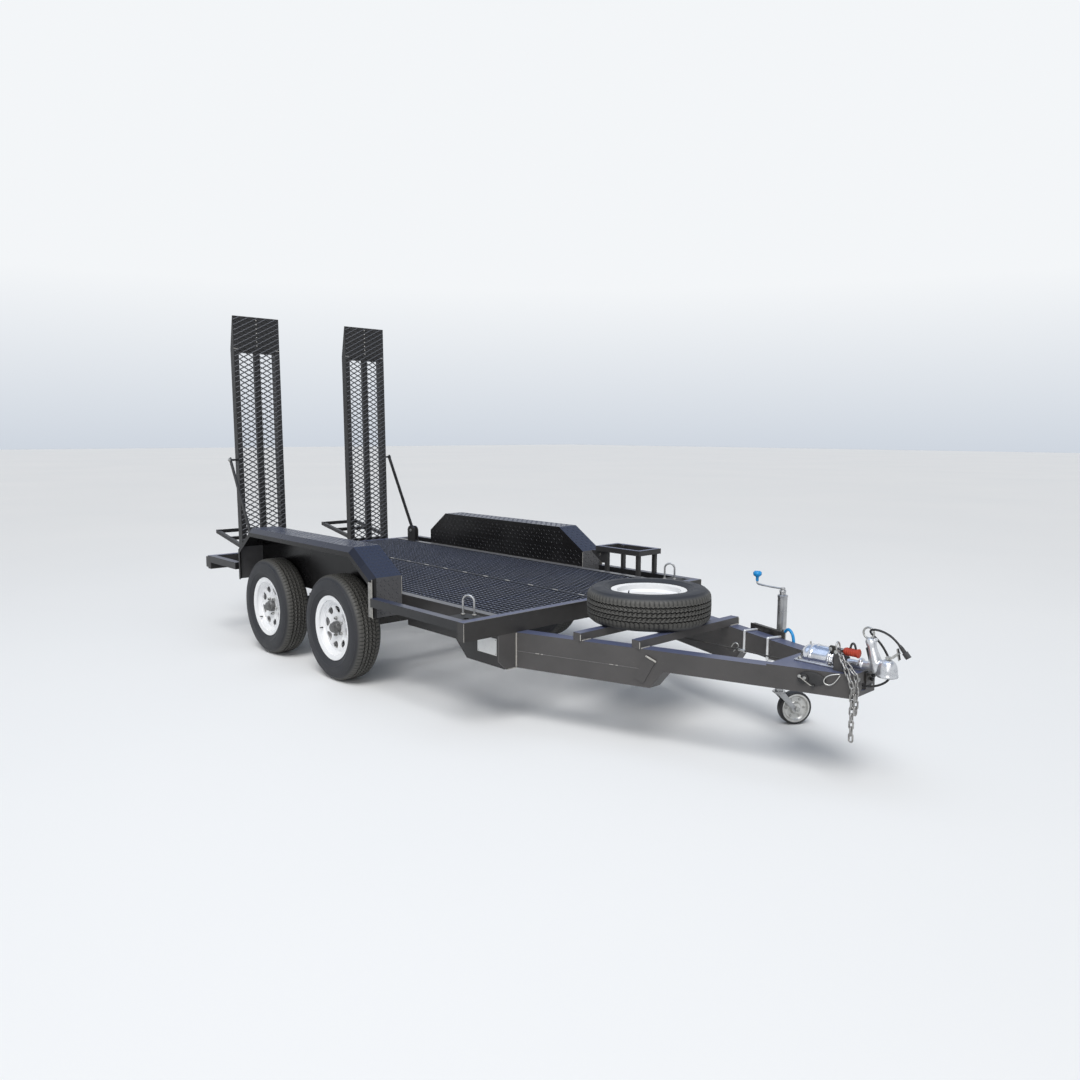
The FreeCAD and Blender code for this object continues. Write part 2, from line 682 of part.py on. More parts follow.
upper_far = prism("drawbar_rail_far", "XY_Plane", rail_plan(size.drawbar_reach), size.rail_depth)
place(upper_far, front_x, 0, (rail_top + rail_bottom) / 2)
keep(group("drawbar_rails", [upper_far, mirrored("drawbar_rail_near", upper_far)]))

lower_plan = prism("lower_rail_plan", "XY_Plane", rail_plan(size.lower_rail_top_reach), size.lower_rail_depth)
place(lower_plan, front_x, 0, (rail_bottom + lower_bottom) / 2)
lower_side = prism("lower_rail_side", "XZ_Plane", [
    (0, lower_bottom), (size.lower_rail_bottom_reach, lower_bottom),
    (size.lower_rail_top_reach, rail_bottom), (0, rail_bottom),
], size.overall_width)
place(lower_side, front_x, 0, 0)
lower_far = common("lower_rail_far", lower_plan, lower_side)
keep(group("drawbar_lower_rails", [lower_far, mirrored("lower_rail_near", lower_far)]))

# A flat strap is welded slantwise over the joint of the upper and lower rail on each outer face.
straps = []
strap_x = (size.strap_low_x + size.strap_high_x) / 2
strap_far = prism("rail_strap_far", "XZ_Plane", [
    (size.strap_low_x - strap_x - size.strap_half, size.strap_low_z), (size.strap_low_x - strap_x + size.strap_half, size.strap_low_z - size.strap_drop),
    (size.strap_high_x - strap_x + size.strap_half, size.strap_high_z - size.strap_drop), (size.strap_high_x - strap_x - size.strap_half, size.strap_high_z),
], size.strap_thick)
strap_out = outer_face(strap_x) + size.strap_thick / cosine(size.drawbar_angle) / 2
place(strap_far, front_x + strap_x, strap_out, 0, Rotation(Vector(0, 0, 1), -size.drawbar_angle.number))
keep(group("rail_straps", [strap_far, mirrored("rail_strap_near", strap_far)]))

# Nose: a plate across the top of both rails carries the coupling, and another closes their tips.
tip_x = front_x + size.drawbar_reach
nose_rear = size.drawbar_reach - size.nose_plate_length
nose_top = prism("nose_top", "XY_Plane", [
    (nose_rear, outer_face(nose_rear)), (size.drawbar_reach, outer_face(size.drawbar_reach)),
    (size.drawbar_reach, -outer_face(size.drawbar_reach)), (nose_rear, -outer_face(nose_rear)),
], size.nose_plate_thick)
place(nose_top, front_x, 0, rail_top + size.nose_plate_thick / 2)
nose_front = box("nose_front", front_x + size.drawbar_reach, -outer_face(size.drawbar_reach), rail_bottom,
                 size.nose_plate_thick, 2 * outer_face(size.drawbar_reach),
                 size.rail_depth + size.nose_plate_thick)
lead_hole = box("lead_hole", front_x + size.drawbar_reach - 1, -size.lead_hole_half, size.lead_hole_bottom,
                size.nose_plate_thick + 2, 2 * size.lead_hole_half, 1.8 * size.lead_hole_half)
nose_bored = cut("nose_bored", nose_front, lead_hole)
# The chain post stands on the nose plate, with a hole for each chain.
post_middle = size.drawbar_reach - size.chain_post_behind
chain_post = prism("chain_post", "XZ_Plane", [
    (-34, 0), (32, 0), (32, 30), (22, 37), (4, 40), (-8, 60), (size.chain_high_x + 15, size.chain_high_z),
    (size.chain_high_x + 10, size.chain_high_z + 14), (size.chain_high_x - 8, size.chain_high_z + 16), (-34, 70),
], size.chain_post_thick, [(size.chain_high_x, size.chain_high_z, size.chain_hole),
                           (size.chain_low_x, size.chain_low_z, size.chain_hole)])
place(chain_post, front_x + post_middle, -size.chain_out, rail_top + size.nose_plate_thick)
keep(fuse("nose_plates", [nose_top, nose_bored, chain_post]))

# Two bars across the drawbar carry the spare wheel, which lies flat on them.
carrier_bars = []
for name, distance in (("rear", size.carrier_rear_x), ("front", size.carrier_front_x)):
    half = outer_face(distance) + size.carrier_overhang
    carrier_bars.append(box(f"carrier_bar_{name}", front_x + distance - size.carrier_width / 2, -half,
                            rail_top, size.carrier_width, 2 * half, size.carrier_depth))
keep(group("spare_carrier", carrier_bars))

# Axles: square beams with a turned spindle at each end.
axle_places = {"front": front_x - size.front_axle_x,
               "rear": front_x - size.front_axle_x - size.axle_spacing}
along_y = Rotation(Vector(1, 0, 0), -90)
spindle_reach = size.wheel_out + size.rim_width * 0.32
axles = []
for name, x in axle_places.items():
    beam = box(f"axle_beam_{name}", x - size.axle_size / 2, -size.axle_half_length,
               size.tyre_radius - size.axle_size / 2,
               size.axle_size, 2 * size.axle_half_length, size.axle_size)
    spindle = cylinder(f"spindle_{name}", x, -spindle_reach, size.tyre_radius,
                       size.spindle_radius, 2 * spindle_reach, along_y)
    axles.append(fuse(f"axle_{name}", [beam, spindle]))
keep(group("axles", axles))

# Leaf springs: each stack lies on its axle, with an eye on the end that a hanger holds. Between the
# axles both springs bear up against a rocking equaliser.
axle_top = size.tyre_radius + size.axle_size / 2
main_radius = (size.spring_reach * size.spring_reach + size.spring_rise * size.spring_rise) / (2 * size.spring_rise)
springs = []
for name, x in axle_places.items():
    leaves = []
    count = int(size.leaf_count.number)
    for number in range(count):
        share = 1 - 0.22 * (count - 1 - number)
        half_angle = math.degrees(math.asin(size.spring_reach.number * share / main_radius.number))
        outer = main_radius + size.leaf_thick * (count - number)
        leaf = []
        for part_name, radius in (("outer", outer), ("inner", outer - size.leaf_thick)):
            slice_ = cylinder(f"leaf_{name}_{number}_{part_name}", 0, 0, 0, radius, size.spring_width)
            slice_.Angle = 2 * half_angle
            turn = Rotation(Vector(1, 0, 0), 90).multiply(Rotation(Vector(0, 0, 1), -90 - half_angle))
            place(slice_, x, size.spring_out + size.spring_width / 2,
                  axle_top + main_radius + size.leaf_thick * count, turn)
            leaf.append(slice_)
        leaves.append(cut(f"leaf_{name}_{number}", *leaf))
    outwards = 1 if name == "front" else -1
    eye = cylinder(f"spring_eye_{name}", x + size.spring_reach * outwards,
                   size.spring_out - size.spring_width / 2,
                   axle_top + size.spring_rise + size.leaf_thick * count + size.eye_radius / 2,
                   size.eye_radius, size.spring_width, along_y)
    stack = fuse(f"spring_{name}_far", leaves + [eye])
    springs += [stack, mirrored(f"spring_{name}_near", stack)]
keep(group("leaf_springs", springs))

# Spring hangers: a top plate under the side rail with a cheek on each side of the spring eye, and a
# pin. The middle one carries the equaliser.
eye_height = axle_top + size.spring_rise + size.leaf_thick * size.leaf_count + size.eye_radius / 2
cheek_bottom = eye_height - 1.3 * size.eye_radius
hangers = []
middle_x = (axle_places["front"] + axle_places["rear"]) / 2
hanger_places = {"front": axle_places["front"] + size.spring_reach, "middle": middle_x,
                 "rear": axle_places["rear"] - size.spring_reach}
spring_half = size.spring_width / 2 + size.running_gap
for name, x in hanger_places.items():
    pieces = [box(f"hanger_top_{name}", x - size.hanger_length / 2,
                  size.spring_out - spring_half - size.hanger_wall, frame_bottom - size.hanger_wall,
                  size.hanger_length, 2 * (spring_half + size.hanger_wall), size.hanger_wall)]
    for cheek, y in (("inner", size.spring_out - spring_half - size.hanger_wall),
                     ("outer", size.spring_out + spring_half)):
        pieces.append(box(f"hanger_{cheek}_{name}", x - size.hanger_length / 2, y, cheek_bottom,
                          size.hanger_length, size.hanger_wall, frame_bottom - cheek_bottom))
    hanger = fuse(f"hanger_{name}_far", pieces)
    hangers += [hanger, mirrored(f"hanger_{name}_near", hanger)]
keep(group("spring_hangers", hangers))

rocker_half = size.axle_spacing / 2 - size.spring_reach * 0.93
rocker_step = 1.5 * size.eye_radius - rocker_half
rocker_top = frame_bottom - size.hanger_wall - size.eye_radius
main_top = axle_top + size.leaf_thick * size.leaf_count + size.spring_rise * 0.87
rocker = prism("equaliser_far", "XZ_Plane", [
    (-rocker_half, main_top), (rocker_step, main_top + size.eye_radius * 0.6),
    (-rocker_step, main_top + size.eye_radius * 0.6), (rocker_half, main_top),
    (rocker_half, main_top + size.eye_radius), (0, rocker_top), (-rocker_half, main_top + size.eye_radius),
], size.spring_width)
place(rocker, middle_x, size.spring_out, 0)
keep(group("equalisers", [rocker, mirrored("equaliser_near", rocker)]))

# Wheels: each tyre and rim is turned about its axle. The rim is one pressing with its hub and brake
# drum, has openings round its disc, and runs on the spindle.
tyre_half = size.tyre_width / 2
rim_half = size.rim_width / 2
tyre_outline = [
    (size.bead_radius, -rim_half + size.rim_wall + 2), (size.lip_radius, -rim_half + size.rim_wall),
    (size.lip_radius + 30, -tyre_half + 3), (size.lip_radius + 58, -tyre_half),
    (size.tyre_radius - 30, -tyre_half + 8), (size.tyre_radius - 10, -tyre_half + 22),
    (size.tyre_radius, -tyre_half + 45), (size.tyre_radius, tyre_half - 45),
    (size.tyre_radius - 10, tyre_half - 22), (size.tyre_radius - 30, tyre_half - 8),
    (size.lip_radius + 58, tyre_half), (size.lip_radius + 30, tyre_half - 3),
    (size.lip_radius, rim_half - size.rim_wall), (size.bead_radius, rim_half - size.rim_wall - 2),
]
seat = size.bead_radius - 0.1
well = size.bead_radius - 20
wall = size.rim_wall
lip_inner = rim_half - wall + 0.1
bore = size.spindle_radius + size.running_gap


def rim_outline(with_hub):
    """Half section of the rim as (radius, distance outwards from the middle of the tyre)."""
    barrel = [
        (size.lip_radius, rim_half), (size.lip_radius, lip_inner), (seat, lip_inner),
        (seat, rim_half * 0.7), (well, rim_half * 0.55), (well, -rim_half * 0.4),
        (seat, -rim_half * 0.6), (seat, -lip_inner), (size.lip_radius, -lip_inner),
        (size.lip_radius, -rim_half), (seat - wall, -rim_half), (seat - wall, -rim_half * 0.62),
        (well - wall, -rim_half * 0.42), (well - wall, 28), (120, 34), (78, 22),
    ]
    hub = [
        (60, 22), (60, -12), (115, -12), (115, -60), (107, -60), (107, -20), (45, -20),
        (45, -70), (bore, -70), (bore, 60), (0, 60), (0, 82), (26, 82), (33, 72), (33, 28),
    ]
    plain = [(33, 22), (33, 28)]
    face = [(70, 30), (84, 30), (122, 42), (well - wall, 37), (seat - wall, rim_half * 0.72),
            (seat - wall, rim_half)]
    return barrel + (hub if with_hub else plain) + face


def rim(label, with_hub):
    body = revolved(label, rim_outline(with_hub))
    doc.recompute()
    opening = new_sketch(body, "XZ_Plane")
    inner, outer = 99, 138
    draw_outline(opening, [(inner, 0), (outer - 6, 27), (outer, 20), (outer, -20), (outer - 6, -27)])
    hole = body.newObject("PartDesign::Pocket", f"{label}_opening")
    hole.Profile = opening
    hole.SideType = "One side"
    hole.Reversed = False
    hole.Length = 60
    doc.recompute()
    ring = body.newObject("PartDesign::PolarPattern", f"{label}_ring")
    ring.Originals = [hole]
    ring.Axis = (opening, ["V_Axis"])
    ring.Angle = 360
    ring.setExpression("Occurrences", size.rim_holes.text)
    body.Tip = ring
    return body


outwards_near = Rotation(Vector(0, 0, 1), 180)
for side, sign, turn in (("near", -1, outwards_near), ("far", 1, Rotation())):
    for axle, x in axle_places.items():
        name = f"{axle}_{side}"
        keep(place(revolved(f"tyre_{name}", tyre_outline), x, sign * size.wheel_out, size.tyre_radius, turn))
        keep(place(rim(f"rim_{name}", True), x, sign * size.wheel_out, size.tyre_radius, turn))

# The spare wheel lies on its outer side, so that the open back of its rim faces up.
spare_height = rail_top + size.carrier_depth + tyre_half
face_down = Rotation(Vector(1, 0, 0), -90)
spare_x = front_x + size.spare_x
keep(place(revolved("spare_tyre", tyre_outline), spare_x, size.spare_y, spare_height, face_down))
keep(place(rim("spare_rim", False), spare_x, size.spare_y, spare_height, face_down))

# Ramps: two stiles with rungs, a wide centre rib, mesh on the driving face and a closed wedge at the
# free end. Prop legs at the foot point straight down when the ramp is let down. Each ramp is drawn
# from its hinge line and leans back a little.
hinge_x = rear_x - size.hinge_behind
lean = Rotation(Vector(0, 1, 0), -size.ramp_lean.number)
face_x = -size.ramp_face
back_x = face_x - size.ramp_depth
toe_start = size.ramp_length - size.ramp_toe
stile_outline = [
    (face_x, size.ramp_foot), (face_x, size.ramp_length), (face_x - size.ramp_toe_edge, size.ramp_length),
    (back_x, toe_start), (back_x, size.ramp_foot),
]
toe_outline = [
    (face_x, toe_start), (face_x, size.ramp_length), (face_x - size.ramp_toe_edge, size.ramp_length),
    (back_x, toe_start),
]
leg_outline = [
    (back_x, size.leg_start_height), (back_x, size.leg_start_height + size.leg_size),
    (-size.leg_reach, size.leg_height + size.leg_size / 2), (-size.leg_reach, size.leg_height - size.leg_size / 2),
]
stile_middle = size.ramp_width / 2 - size.ramp_stile / 2
between = size.ramp_width - 2 * size.ramp_stile


def ramp_piece(thing, y):
    return place(thing, hinge_x, y, size.hinge_height, lean)


def ramp_box(label, x, z, width, length, height, y):
    """A bar across the ramp, drawn from its middle."""
    outline = [(x, z), (x + length, z), (x + length, z + height), (x, z + height)]
    return ramp_piece(prism(label, "XZ_Plane", outline, width), y)


def ramp_frame(side, y):
    pieces = []
    for edge, sign in (("low", -1), ("high", 1)):
        offset = y + sign * stile_middle
        pieces.append(ramp_piece(prism(f"stile_{edge}_{side}", "XZ_Plane", stile_outline, size.ramp_stile), offset))
        pieces.append(ramp_piece(prism(f"leg_{edge}_{side}", "XZ_Plane", leg_outline, size.leg_size), offset))
        lug = [(back_x, size.ramp_foot), (face_x + size.hinge_barrel_radius / 2, size.ramp_foot),
               (size.hinge_barrel_radius / 2, 0), (-size.hinge_barrel_radius, 0), (back_x, size.ramp_foot / 2)]
        pieces.append(ramp_piece(prism(f"lug_{edge}_{side}", "XZ_Plane", lug, size.ramp_stile), offset))
        barrel = cylinder(f"barrel_{edge}_{side}", hinge_x, offset - size.ramp_stile / 2, size.hinge_height,
                          size.hinge_barrel_radius, size.ramp_stile, along_y)
        pieces.append(barrel)
    pieces.append(ramp_piece(prism(f"toe_{side}", "XZ_Plane", toe_outline, size.ramp_width), y))
    rung_x = face_x - size.mesh_thick - size.rung_size
    rungs = int(size.ramp_rungs.number)
    step = (toe_start - size.ramp_foot - size.rung_size) / (size.ramp_rungs - 1)
    for number in range(rungs):
        pieces.append(ramp_box(f"rung_{number}_{side}", rung_x, size.ramp_foot + step * number,
                               between, size.rung_size, size.rung_size, y))
    pieces.append(ramp_box(f"rib_{side}", rung_x, size.ramp_foot, size.rib_width, size.rung_size,
                           toe_start - size.ramp_foot, y))
    for part_name, share in (("end", 1.0), ("middle", 0.5)):
        x = back_x + (size.leg_size - size.leg_reach - back_x) * share - size.leg_size
        z = size.leg_start_height + (size.leg_height - size.leg_size / 2 - size.leg_start_height) * share
        pieces.append(ramp_box(f"leg_bar_{part_name}_{side}", x, z, 2 * stile_middle, size.leg_size, size.leg_size, y))
    boss_y = y + size.ramp_width / 2 if side == "far" else y - size.ramp_width / 2 - boss_length
    pieces.append(cylinder(f"stay_boss_{side}", stay_pivot_x, boss_y, stay_pivot_z,
                           size.stay_pin_radius, boss_length, along_y))
    solid = fuse(f"ramp_solid_{side}", pieces)
    pin_hole = cylinder(f"ramp_pin_hole_{side}", hinge_x, y - size.ramp_width, size.hinge_height,
                        size.hinge_pin_radius + size.running_gap, 2 * size.ramp_width, along_y)
    return cut(f"ramp_frame_{side}", solid, pin_hole)


# Stays: a flat bar on each ramp's outer stile runs down to a bracket on the side rail.
lean_sine = sine(size.ramp_lean)
lean_cosine = cosine(size.ramp_lean)
stay_local_x = back_x + size.ramp_depth / 2
stay_pivot_x = hinge_x + stay_local_x * lean_cosine - size.stay_height * lean_sine
stay_pivot_z = size.hinge_height + size.stay_height * lean_cosine + stay_local_x * lean_sine
stay_foot_x = front_x - size.stay_foot_x
boss_length = size.stay_out + size.stay_thick - size.ramp_out - size.ramp_width / 2
run = stay_foot_x.number - stay_pivot_x.number
fall = stay_pivot_z.number - size.stay_foot_height.number
stay_length = math.hypot(run, fall)
stay_angle = math.degrees(math.atan2(run, fall))

for side, sign in (("near", -1), ("far", 1)):
    y = sign * size.ramp_out
    keep(ramp_frame(side, y))
    keep(ramp_box(f"ramp_mesh_{side}", face_x - size.mesh_thick, size.ramp_foot, between,
                  size.mesh_thick, toe_start - size.ramp_foot, y))

stay_half = size.stay_width / 2
stay_bar = prism("stay_bar", "XZ_Plane", [
    (-stay_half, stay_half), (-stay_half, -stay_length - stay_half), (-stay_half / 2, -stay_length - 1.3 * stay_half),
    (stay_half / 2, -stay_length - 1.3 * stay_half), (stay_half, -stay_length - stay_half), (stay_half, stay_half),
], size.stay_thick, [(0, 0, size.stay_pin_radius + size.running_gap), (0, -stay_length, size.stay_pin_radius)])
place(stay_bar, stay_pivot_x, size.stay_out + size.stay_thick / 2, stay_pivot_z,
      Rotation(Vector(0, 1, 0), -stay_angle))
stay_bar.Label = "ramp_stay_far"
keep(stay_bar)
keep(mirrored("ramp_stay_near", stay_bar))

# Stay brackets: two round-topped ears on a foot plate, one each side of the stay.
ear_half = size.ear_length / 2
ear_shoulder = size.ear_height - ear_half * 0.6
ear_outline = [
    (-ear_half, 0), (ear_half, 0), (ear_half, ear_shoulder), (ear_half * 0.8, size.ear_height - ear_half * 0.22),
    (ear_half * 0.45, size.ear_height), (-ear_half * 0.45, size.ear_height),
    (-ear_half * 0.8, size.ear_height - ear_half * 0.22), (-ear_half, ear_shoulder),
]
pin_above = size.stay_foot_height - size.deck_top
ears = []
for name, y in (("inner", size.stay_out - size.ear_gap - size.ear_thick / 2),
                ("outer", size.stay_out + size.stay_thick + size.ear_gap + size.ear_thick / 2)):
    ear = prism(f"ear_{name}", "XZ_Plane", ear_outline, size.ear_thick, [(0, pin_above, size.stay_pin_radius)])
    ears.append(place(ear, stay_foot_x, y, size.deck_top))
foot_inner = size.stay_out - size.ear_gap - size.ear_thick
foot = box("bracket_foot", stay_foot_x - ear_half, foot_inner, size.deck_top, size.ear_length,
           half_deck - foot_inner, size.ear_thick)
bracket_far = fuse("stay_bracket_far", ears + [foot])
keep(group("stay_brackets", [bracket_far, mirrored("stay_bracket_near", bracket_far)]))

# Hinge pins run through both barrels of a ramp, held by ears on the rear beam beside each barrel.
hinges = []
ear_reach = size.hinge_behind + size.hinge_barrel_radius
for side, sign in (("near", -1), ("far", 1)):
    y = sign * size.ramp_out
    pin_half = size.ramp_width / 2 + 4 + size.ear_thick
    pieces = [cylinder(f"hinge_pin_{side}", hinge_x, y - pin_half, size.hinge_height,
                       size.hinge_pin_radius, 2 * pin_half, along_y)]
    for edge, offset in (("low", -pin_half), ("high", pin_half - size.ear_thick)):
        pieces.append(box(f"hinge_ear_{edge}_{side}", rear_x - ear_reach, y + offset,
                          size.hinge_height - size.hinge_barrel_radius,
                          ear_reach, size.ear_thick, 2 * size.hinge_barrel_radius))
    hinges.append(fuse(f"ramp_hinge_{side}", pieces))
keep(group("ramp_hinges", hinges))

# Bucket rest on the far side: an open frame on four posts over the gap beside the deck.
rest_rear_x = front_x - size.rest_front - size.rest_length
rest_inner = half_deck - 8
rest_outer = half_width
rest_top = size.deck_top + size.rest_height
rest_ring = cut(
    "rest_ring",
    box("rest_outer", rest_rear_x, rest_inner, rest_top - size.rest_depth,
        size.rest_length, rest_outer - rest_inner, size.rest_depth),
    box("rest_inner", rest_rear_x + size.rest_wall, rest_inner + size.rest_wall, rest_top - 2 * size.rest_depth,
        size.rest_length - 2 * size.rest_wall, rest_outer - rest_inner - 2 * size.rest_wall,
        4 * size.rest_depth))
posts = []
post_rear_x = rest_rear_x + size.rest_rear_inset
for end, x in (("rear", post_rear_x),
               ("front", rest_rear_x + size.rest_length - size.rest_front_inset - size.rest_post)):
    posts.append(box(f"rest_post_{end}_inner", x, half_deck, frame_bottom + size.beam_thick,
                     size.rest_post, size.rest_post, rest_top - frame_bottom - size.beam_thick - 2))
    posts.append(box(f"rest_post_{end}_outer", x, rope_inner, size.deck_top,
                     size.rest_post, size.rest_post, size.rest_height - 2))
gusset_top = rest_top - size.rest_depth
gusset = prism("rest_gusset_plate", "XZ_Plane", [
    (post_rear_x + 2, gusset_top - size.rest_gusset * 0.62), (post_rear_x + 2, gusset_top),
    (post_rear_x - size.rest_gusset, gusset_top), (post_rear_x - size.rest_gusset, gusset_top - 14),
    (post_rear_x - size.rest_gusset * 0.25, gusset_top - size.rest_gusset * 0.62),
], 8, [(post_rear_x - size.rest_gusset * 0.42, gusset_top - 24, 11)])
place(gusset, 0, half_deck + size.rest_post / 2, 0)
keep(fuse("bucket_rest", [rest_ring, gusset] + posts))

# Jockey stand: a bracket bolted to the far drawbar rail, a swing-up tube with a screw, and a swivel
# wheel on the inner tube.
stand_x = front_x + size.stand_x
stand_y = size.stand_y
along_rail = Rotation(Vector(0, 0, 1), -size.drawbar_angle.number)
rail_cos = cosine(size.drawbar_angle)
rail_sin = sine(size.drawbar_angle)
face_gap = (stand_y - outer_face(size.stand_x)) * rail_cos
foot_on_rail_x = stand_x - face_gap * rail_sin
foot_on_rail_y = stand_y - face_gap * rail_cos


def on_rail(thing, along, out, z):
    """Puts a piece beside the far rail: so far along it from the stand, so far out from its face."""
    return place(thing, foot_on_rail_x + along * rail_cos + out * rail_sin,
                 foot_on_rail_y - along * rail_sin + out * rail_cos, z, along_rail)


bracket_top = rail_top + size.bracket_rise
bracket_plate = on_rail(box("bracket_plate", 0, 0, 0, size.bracket_length, size.bracket_thick,
                            size.bracket_depth + size.bracket_rise),
                        size.bracket_length * -0.56, 0, rail_top - size.bracket_depth + 4)
across_rail = along_rail.multiply(Rotation(Vector(1, 0, 0), -90))
pivot_pin = cylinder("pivot_pin", foot_on_rail_x + size.bracket_thick * rail_sin,
                     foot_on_rail_y + size.bracket_thick * rail_cos, size.pivot_height,
                     size.pivot_radius, face_gap - size.stand_radius - size.bracket_thick - 12, across_rail)
bolts = []
for number, along in enumerate((0.5 - 1, 0.5)):
    middle = size.bolt_spacing * along - size.bracket_length * 0.07
    over = on_rail(box(f"rail_bolt_over_{number}", 0, 0, 0, 2 * size.bolt_rod,
                       size.rail_thick + 2 * size.bolt_rod + size.bracket_thick * 2, 2 * size.bolt_rod),
                   middle, -size.rail_thick - 2 * size.bolt_rod, rail_top)
    down = on_rail(box(f"rail_bolt_down_{number}", 0, 0, 0, 2 * size.bolt_rod, 2 * size.bolt_rod,
                       size.rail_depth + 4 * size.bolt_rod),
                   middle, -size.rail_thick - 2 * size.bolt_rod, rail_bottom - 2 * size.bolt_rod)
    under = on_rail(box(f"rail_bolt_under_{number}", 0, 0, 0, 2 * size.bolt_rod,
                        size.rail_thick + 2 * size.bolt_rod + size.bracket_thick * 2, 2 * size.bolt_rod),
                    middle, -size.rail_thick - 2 * size.bolt_rod, rail_bottom - 2 * size.bolt_rod)
    bolts += [over, down, under]
keep(fuse("jockey_bracket", [bracket_plate, pivot_pin] + bolts))

# The stand's outer tube with its collar on the swing pivot, closed above by the screw housing.
tube_inner = size.stand_radius - size.stand_wall
outer_tube = cylinder("outer_tube", stand_x, stand_y, size.stand_bottom, size.stand_radius,
                      size.stand_top - size.stand_bottom)
tube_hollow = cylinder("tube_hollow", stand_x, stand_y, size.stand_bottom - 1, tube_inner,
                       size.stand_top - size.stand_bottom - 4)
tube_cap = cylinder("tube_cap", stand_x, stand_y, size.stand_top, size.cap_radius, size.cap_height)
collar_out = face_gap - size.stand_radius - 12 + 0.3
collar = cylinder("swing_collar", foot_on_rail_x + collar_out * rail_sin, foot_on_rail_y + collar_out * rail_cos,
                  size.pivot_height, size.pivot_radius * 1.8, 20, across_rail)
stand_solid = fuse("stand_solid", [outer_tube, tube_cap, collar])
keep(cut("jockey_tube", stand_solid, tube_hollow))

crank_z = size.stand_top + size.cap_height + 0.3
along_x = Rotation(Vector(0, 1, 0), 90)
crank_boss = cylinder("crank_boss", stand_x, stand_y, crank_z, size.cap_radius * 0.8, 14)
crank_arm = cylinder("crank_arm", stand_x - size.crank_length, stand_y, crank_z + 7,
                     size.crank_rod, size.crank_length, along_x)
crank_grip = cylinder("crank_grip", stand_x - size.crank_length, stand_y, crank_z + 7 - size.crank_rod,
                      size.crank_rod, size.crank_knob_height, None)
knob = cylinder("crank_knob_body", stand_x - size.crank_length, stand_y,
                crank_z + 7 + size.crank_knob_height - 50, size.cap_radius, 45)
keep(fuse("jockey_crank", [crank_boss, crank_arm, crank_grip, knob]))

# The inner tube slides in the outer one and carries the swivel fork.
inner_radius = tube_inner - size.leg_tube_gap
keep(cylinder("jockey_leg", stand_x, stand_y, size.leg_tube_bottom, inner_radius,
              size.leg_tube_top - size.leg_tube_bottom))

heading = Rotation(Vector(0, 0, 1), size.jockey_heading.number)
fork_half = size.jockey_width / 2 + size.fork_gap
trail_x = size.jockey_trail * cosine(size.jockey_heading)
trail_y = size.jockey_trail * sine(size.jockey_heading)
swivel_z = size.leg_tube_bottom - 0.3
swivel_plate = cylinder("swivel_plate", stand_x, stand_y, swivel_z - 8, size.stand_radius * 1.3, 8)
fork_pieces = [swivel_plate]
head_half = size.stand_radius * 0.9
fork_outline = [
    (-head_half, swivel_z - 8 - size.jockey_radius), (head_half, swivel_z - 8 - size.jockey_radius),
    (size.jockey_trail + 14, -14), (size.jockey_trail - 14, -14),
]
for edge, sign in (("left", 1), ("right", -1)):
    cheek = prism(f"fork_cheek_{edge}", "XZ_Plane", fork_outline, size.fork_plate)
    offset = sign * (fork_half + size.fork_plate / 2)
    place(cheek, stand_x - offset * sine(size.jockey_heading), stand_y + offset * cosine(size.jockey_heading),
          size.jockey_radius, heading)
    fork_pieces.append(cheek)
bridge_width = 2 * (fork_half + size.fork_plate)
bridge = prism("fork_bridge", "XZ_Plane", [
    (-head_half, swivel_z - 14), (head_half, swivel_z - 14), (head_half, swivel_z - 8), (-head_half, swivel_z - 8),
], bridge_width)
place(bridge, stand_x, stand_y, 0, heading)
fork_pieces.append(bridge)
axle_half = fork_half + size.fork_plate
axle_turn = heading.multiply(Rotation(Vector(1, 0, 0), -90))
wheel_x = stand_x + trail_x
wheel_y = stand_y + trail_y
fork_pieces.append(cylinder("fork_axle", wheel_x + axle_half * sine(size.jockey_heading),
                            wheel_y - axle_half * cosine(size.jockey_heading), size.jockey_radius,
                            size.jockey_pin_radius, 2 * axle_half, axle_turn))
keep(fuse("jockey_fork", fork_pieces))

wheel_half = size.jockey_width / 2
pin_bore = size.jockey_pin_radius + size.running_gap
keep(place(revolved("jockey_wheel", [
    (pin_bore, -wheel_half), (28, -wheel_half), (34, -wheel_half + 10), (60, -wheel_half + 10),
    (64, -wheel_half), (size.jockey_radius - 8, -wheel_half + 2), (size.jockey_radius, -wheel_half + 14),
    (size.jockey_radius, wheel_half - 14), (size.jockey_radius - 8, wheel_half - 2), (64, wheel_half),
    (60, wheel_half - 10), (34, wheel_half - 10), (28, wheel_half), (pin_bore, wheel_half),
]), wheel_x, wheel_y, size.jockey_radius, heading))

# The swing lever is a curved handle on a spring pin through the bracket.
lever = prism("lever_strip", "XZ_Plane", [
    (0, 0), (12, 0), (30, 40), (44, 44), (52, 30), (52, -40), (62, -40), (62, 36), (48, 56), (24, 52),
], 12)
lever_out = size.bracket_thick + 8
lever_pin = on_rail(cylinder("lever_pin", 0, 0, 0, 7, 14), size.lever_along, lever_out - 7, rail_top)
lever_pin.Placement.Rotation = across_rail
on_rail(lever, size.lever_along, lever_out, rail_top)
lever_round = fuse("lever_round", [lever, lever_pin])
lever_round.Label = "swing_lever"
keep(lever_round)

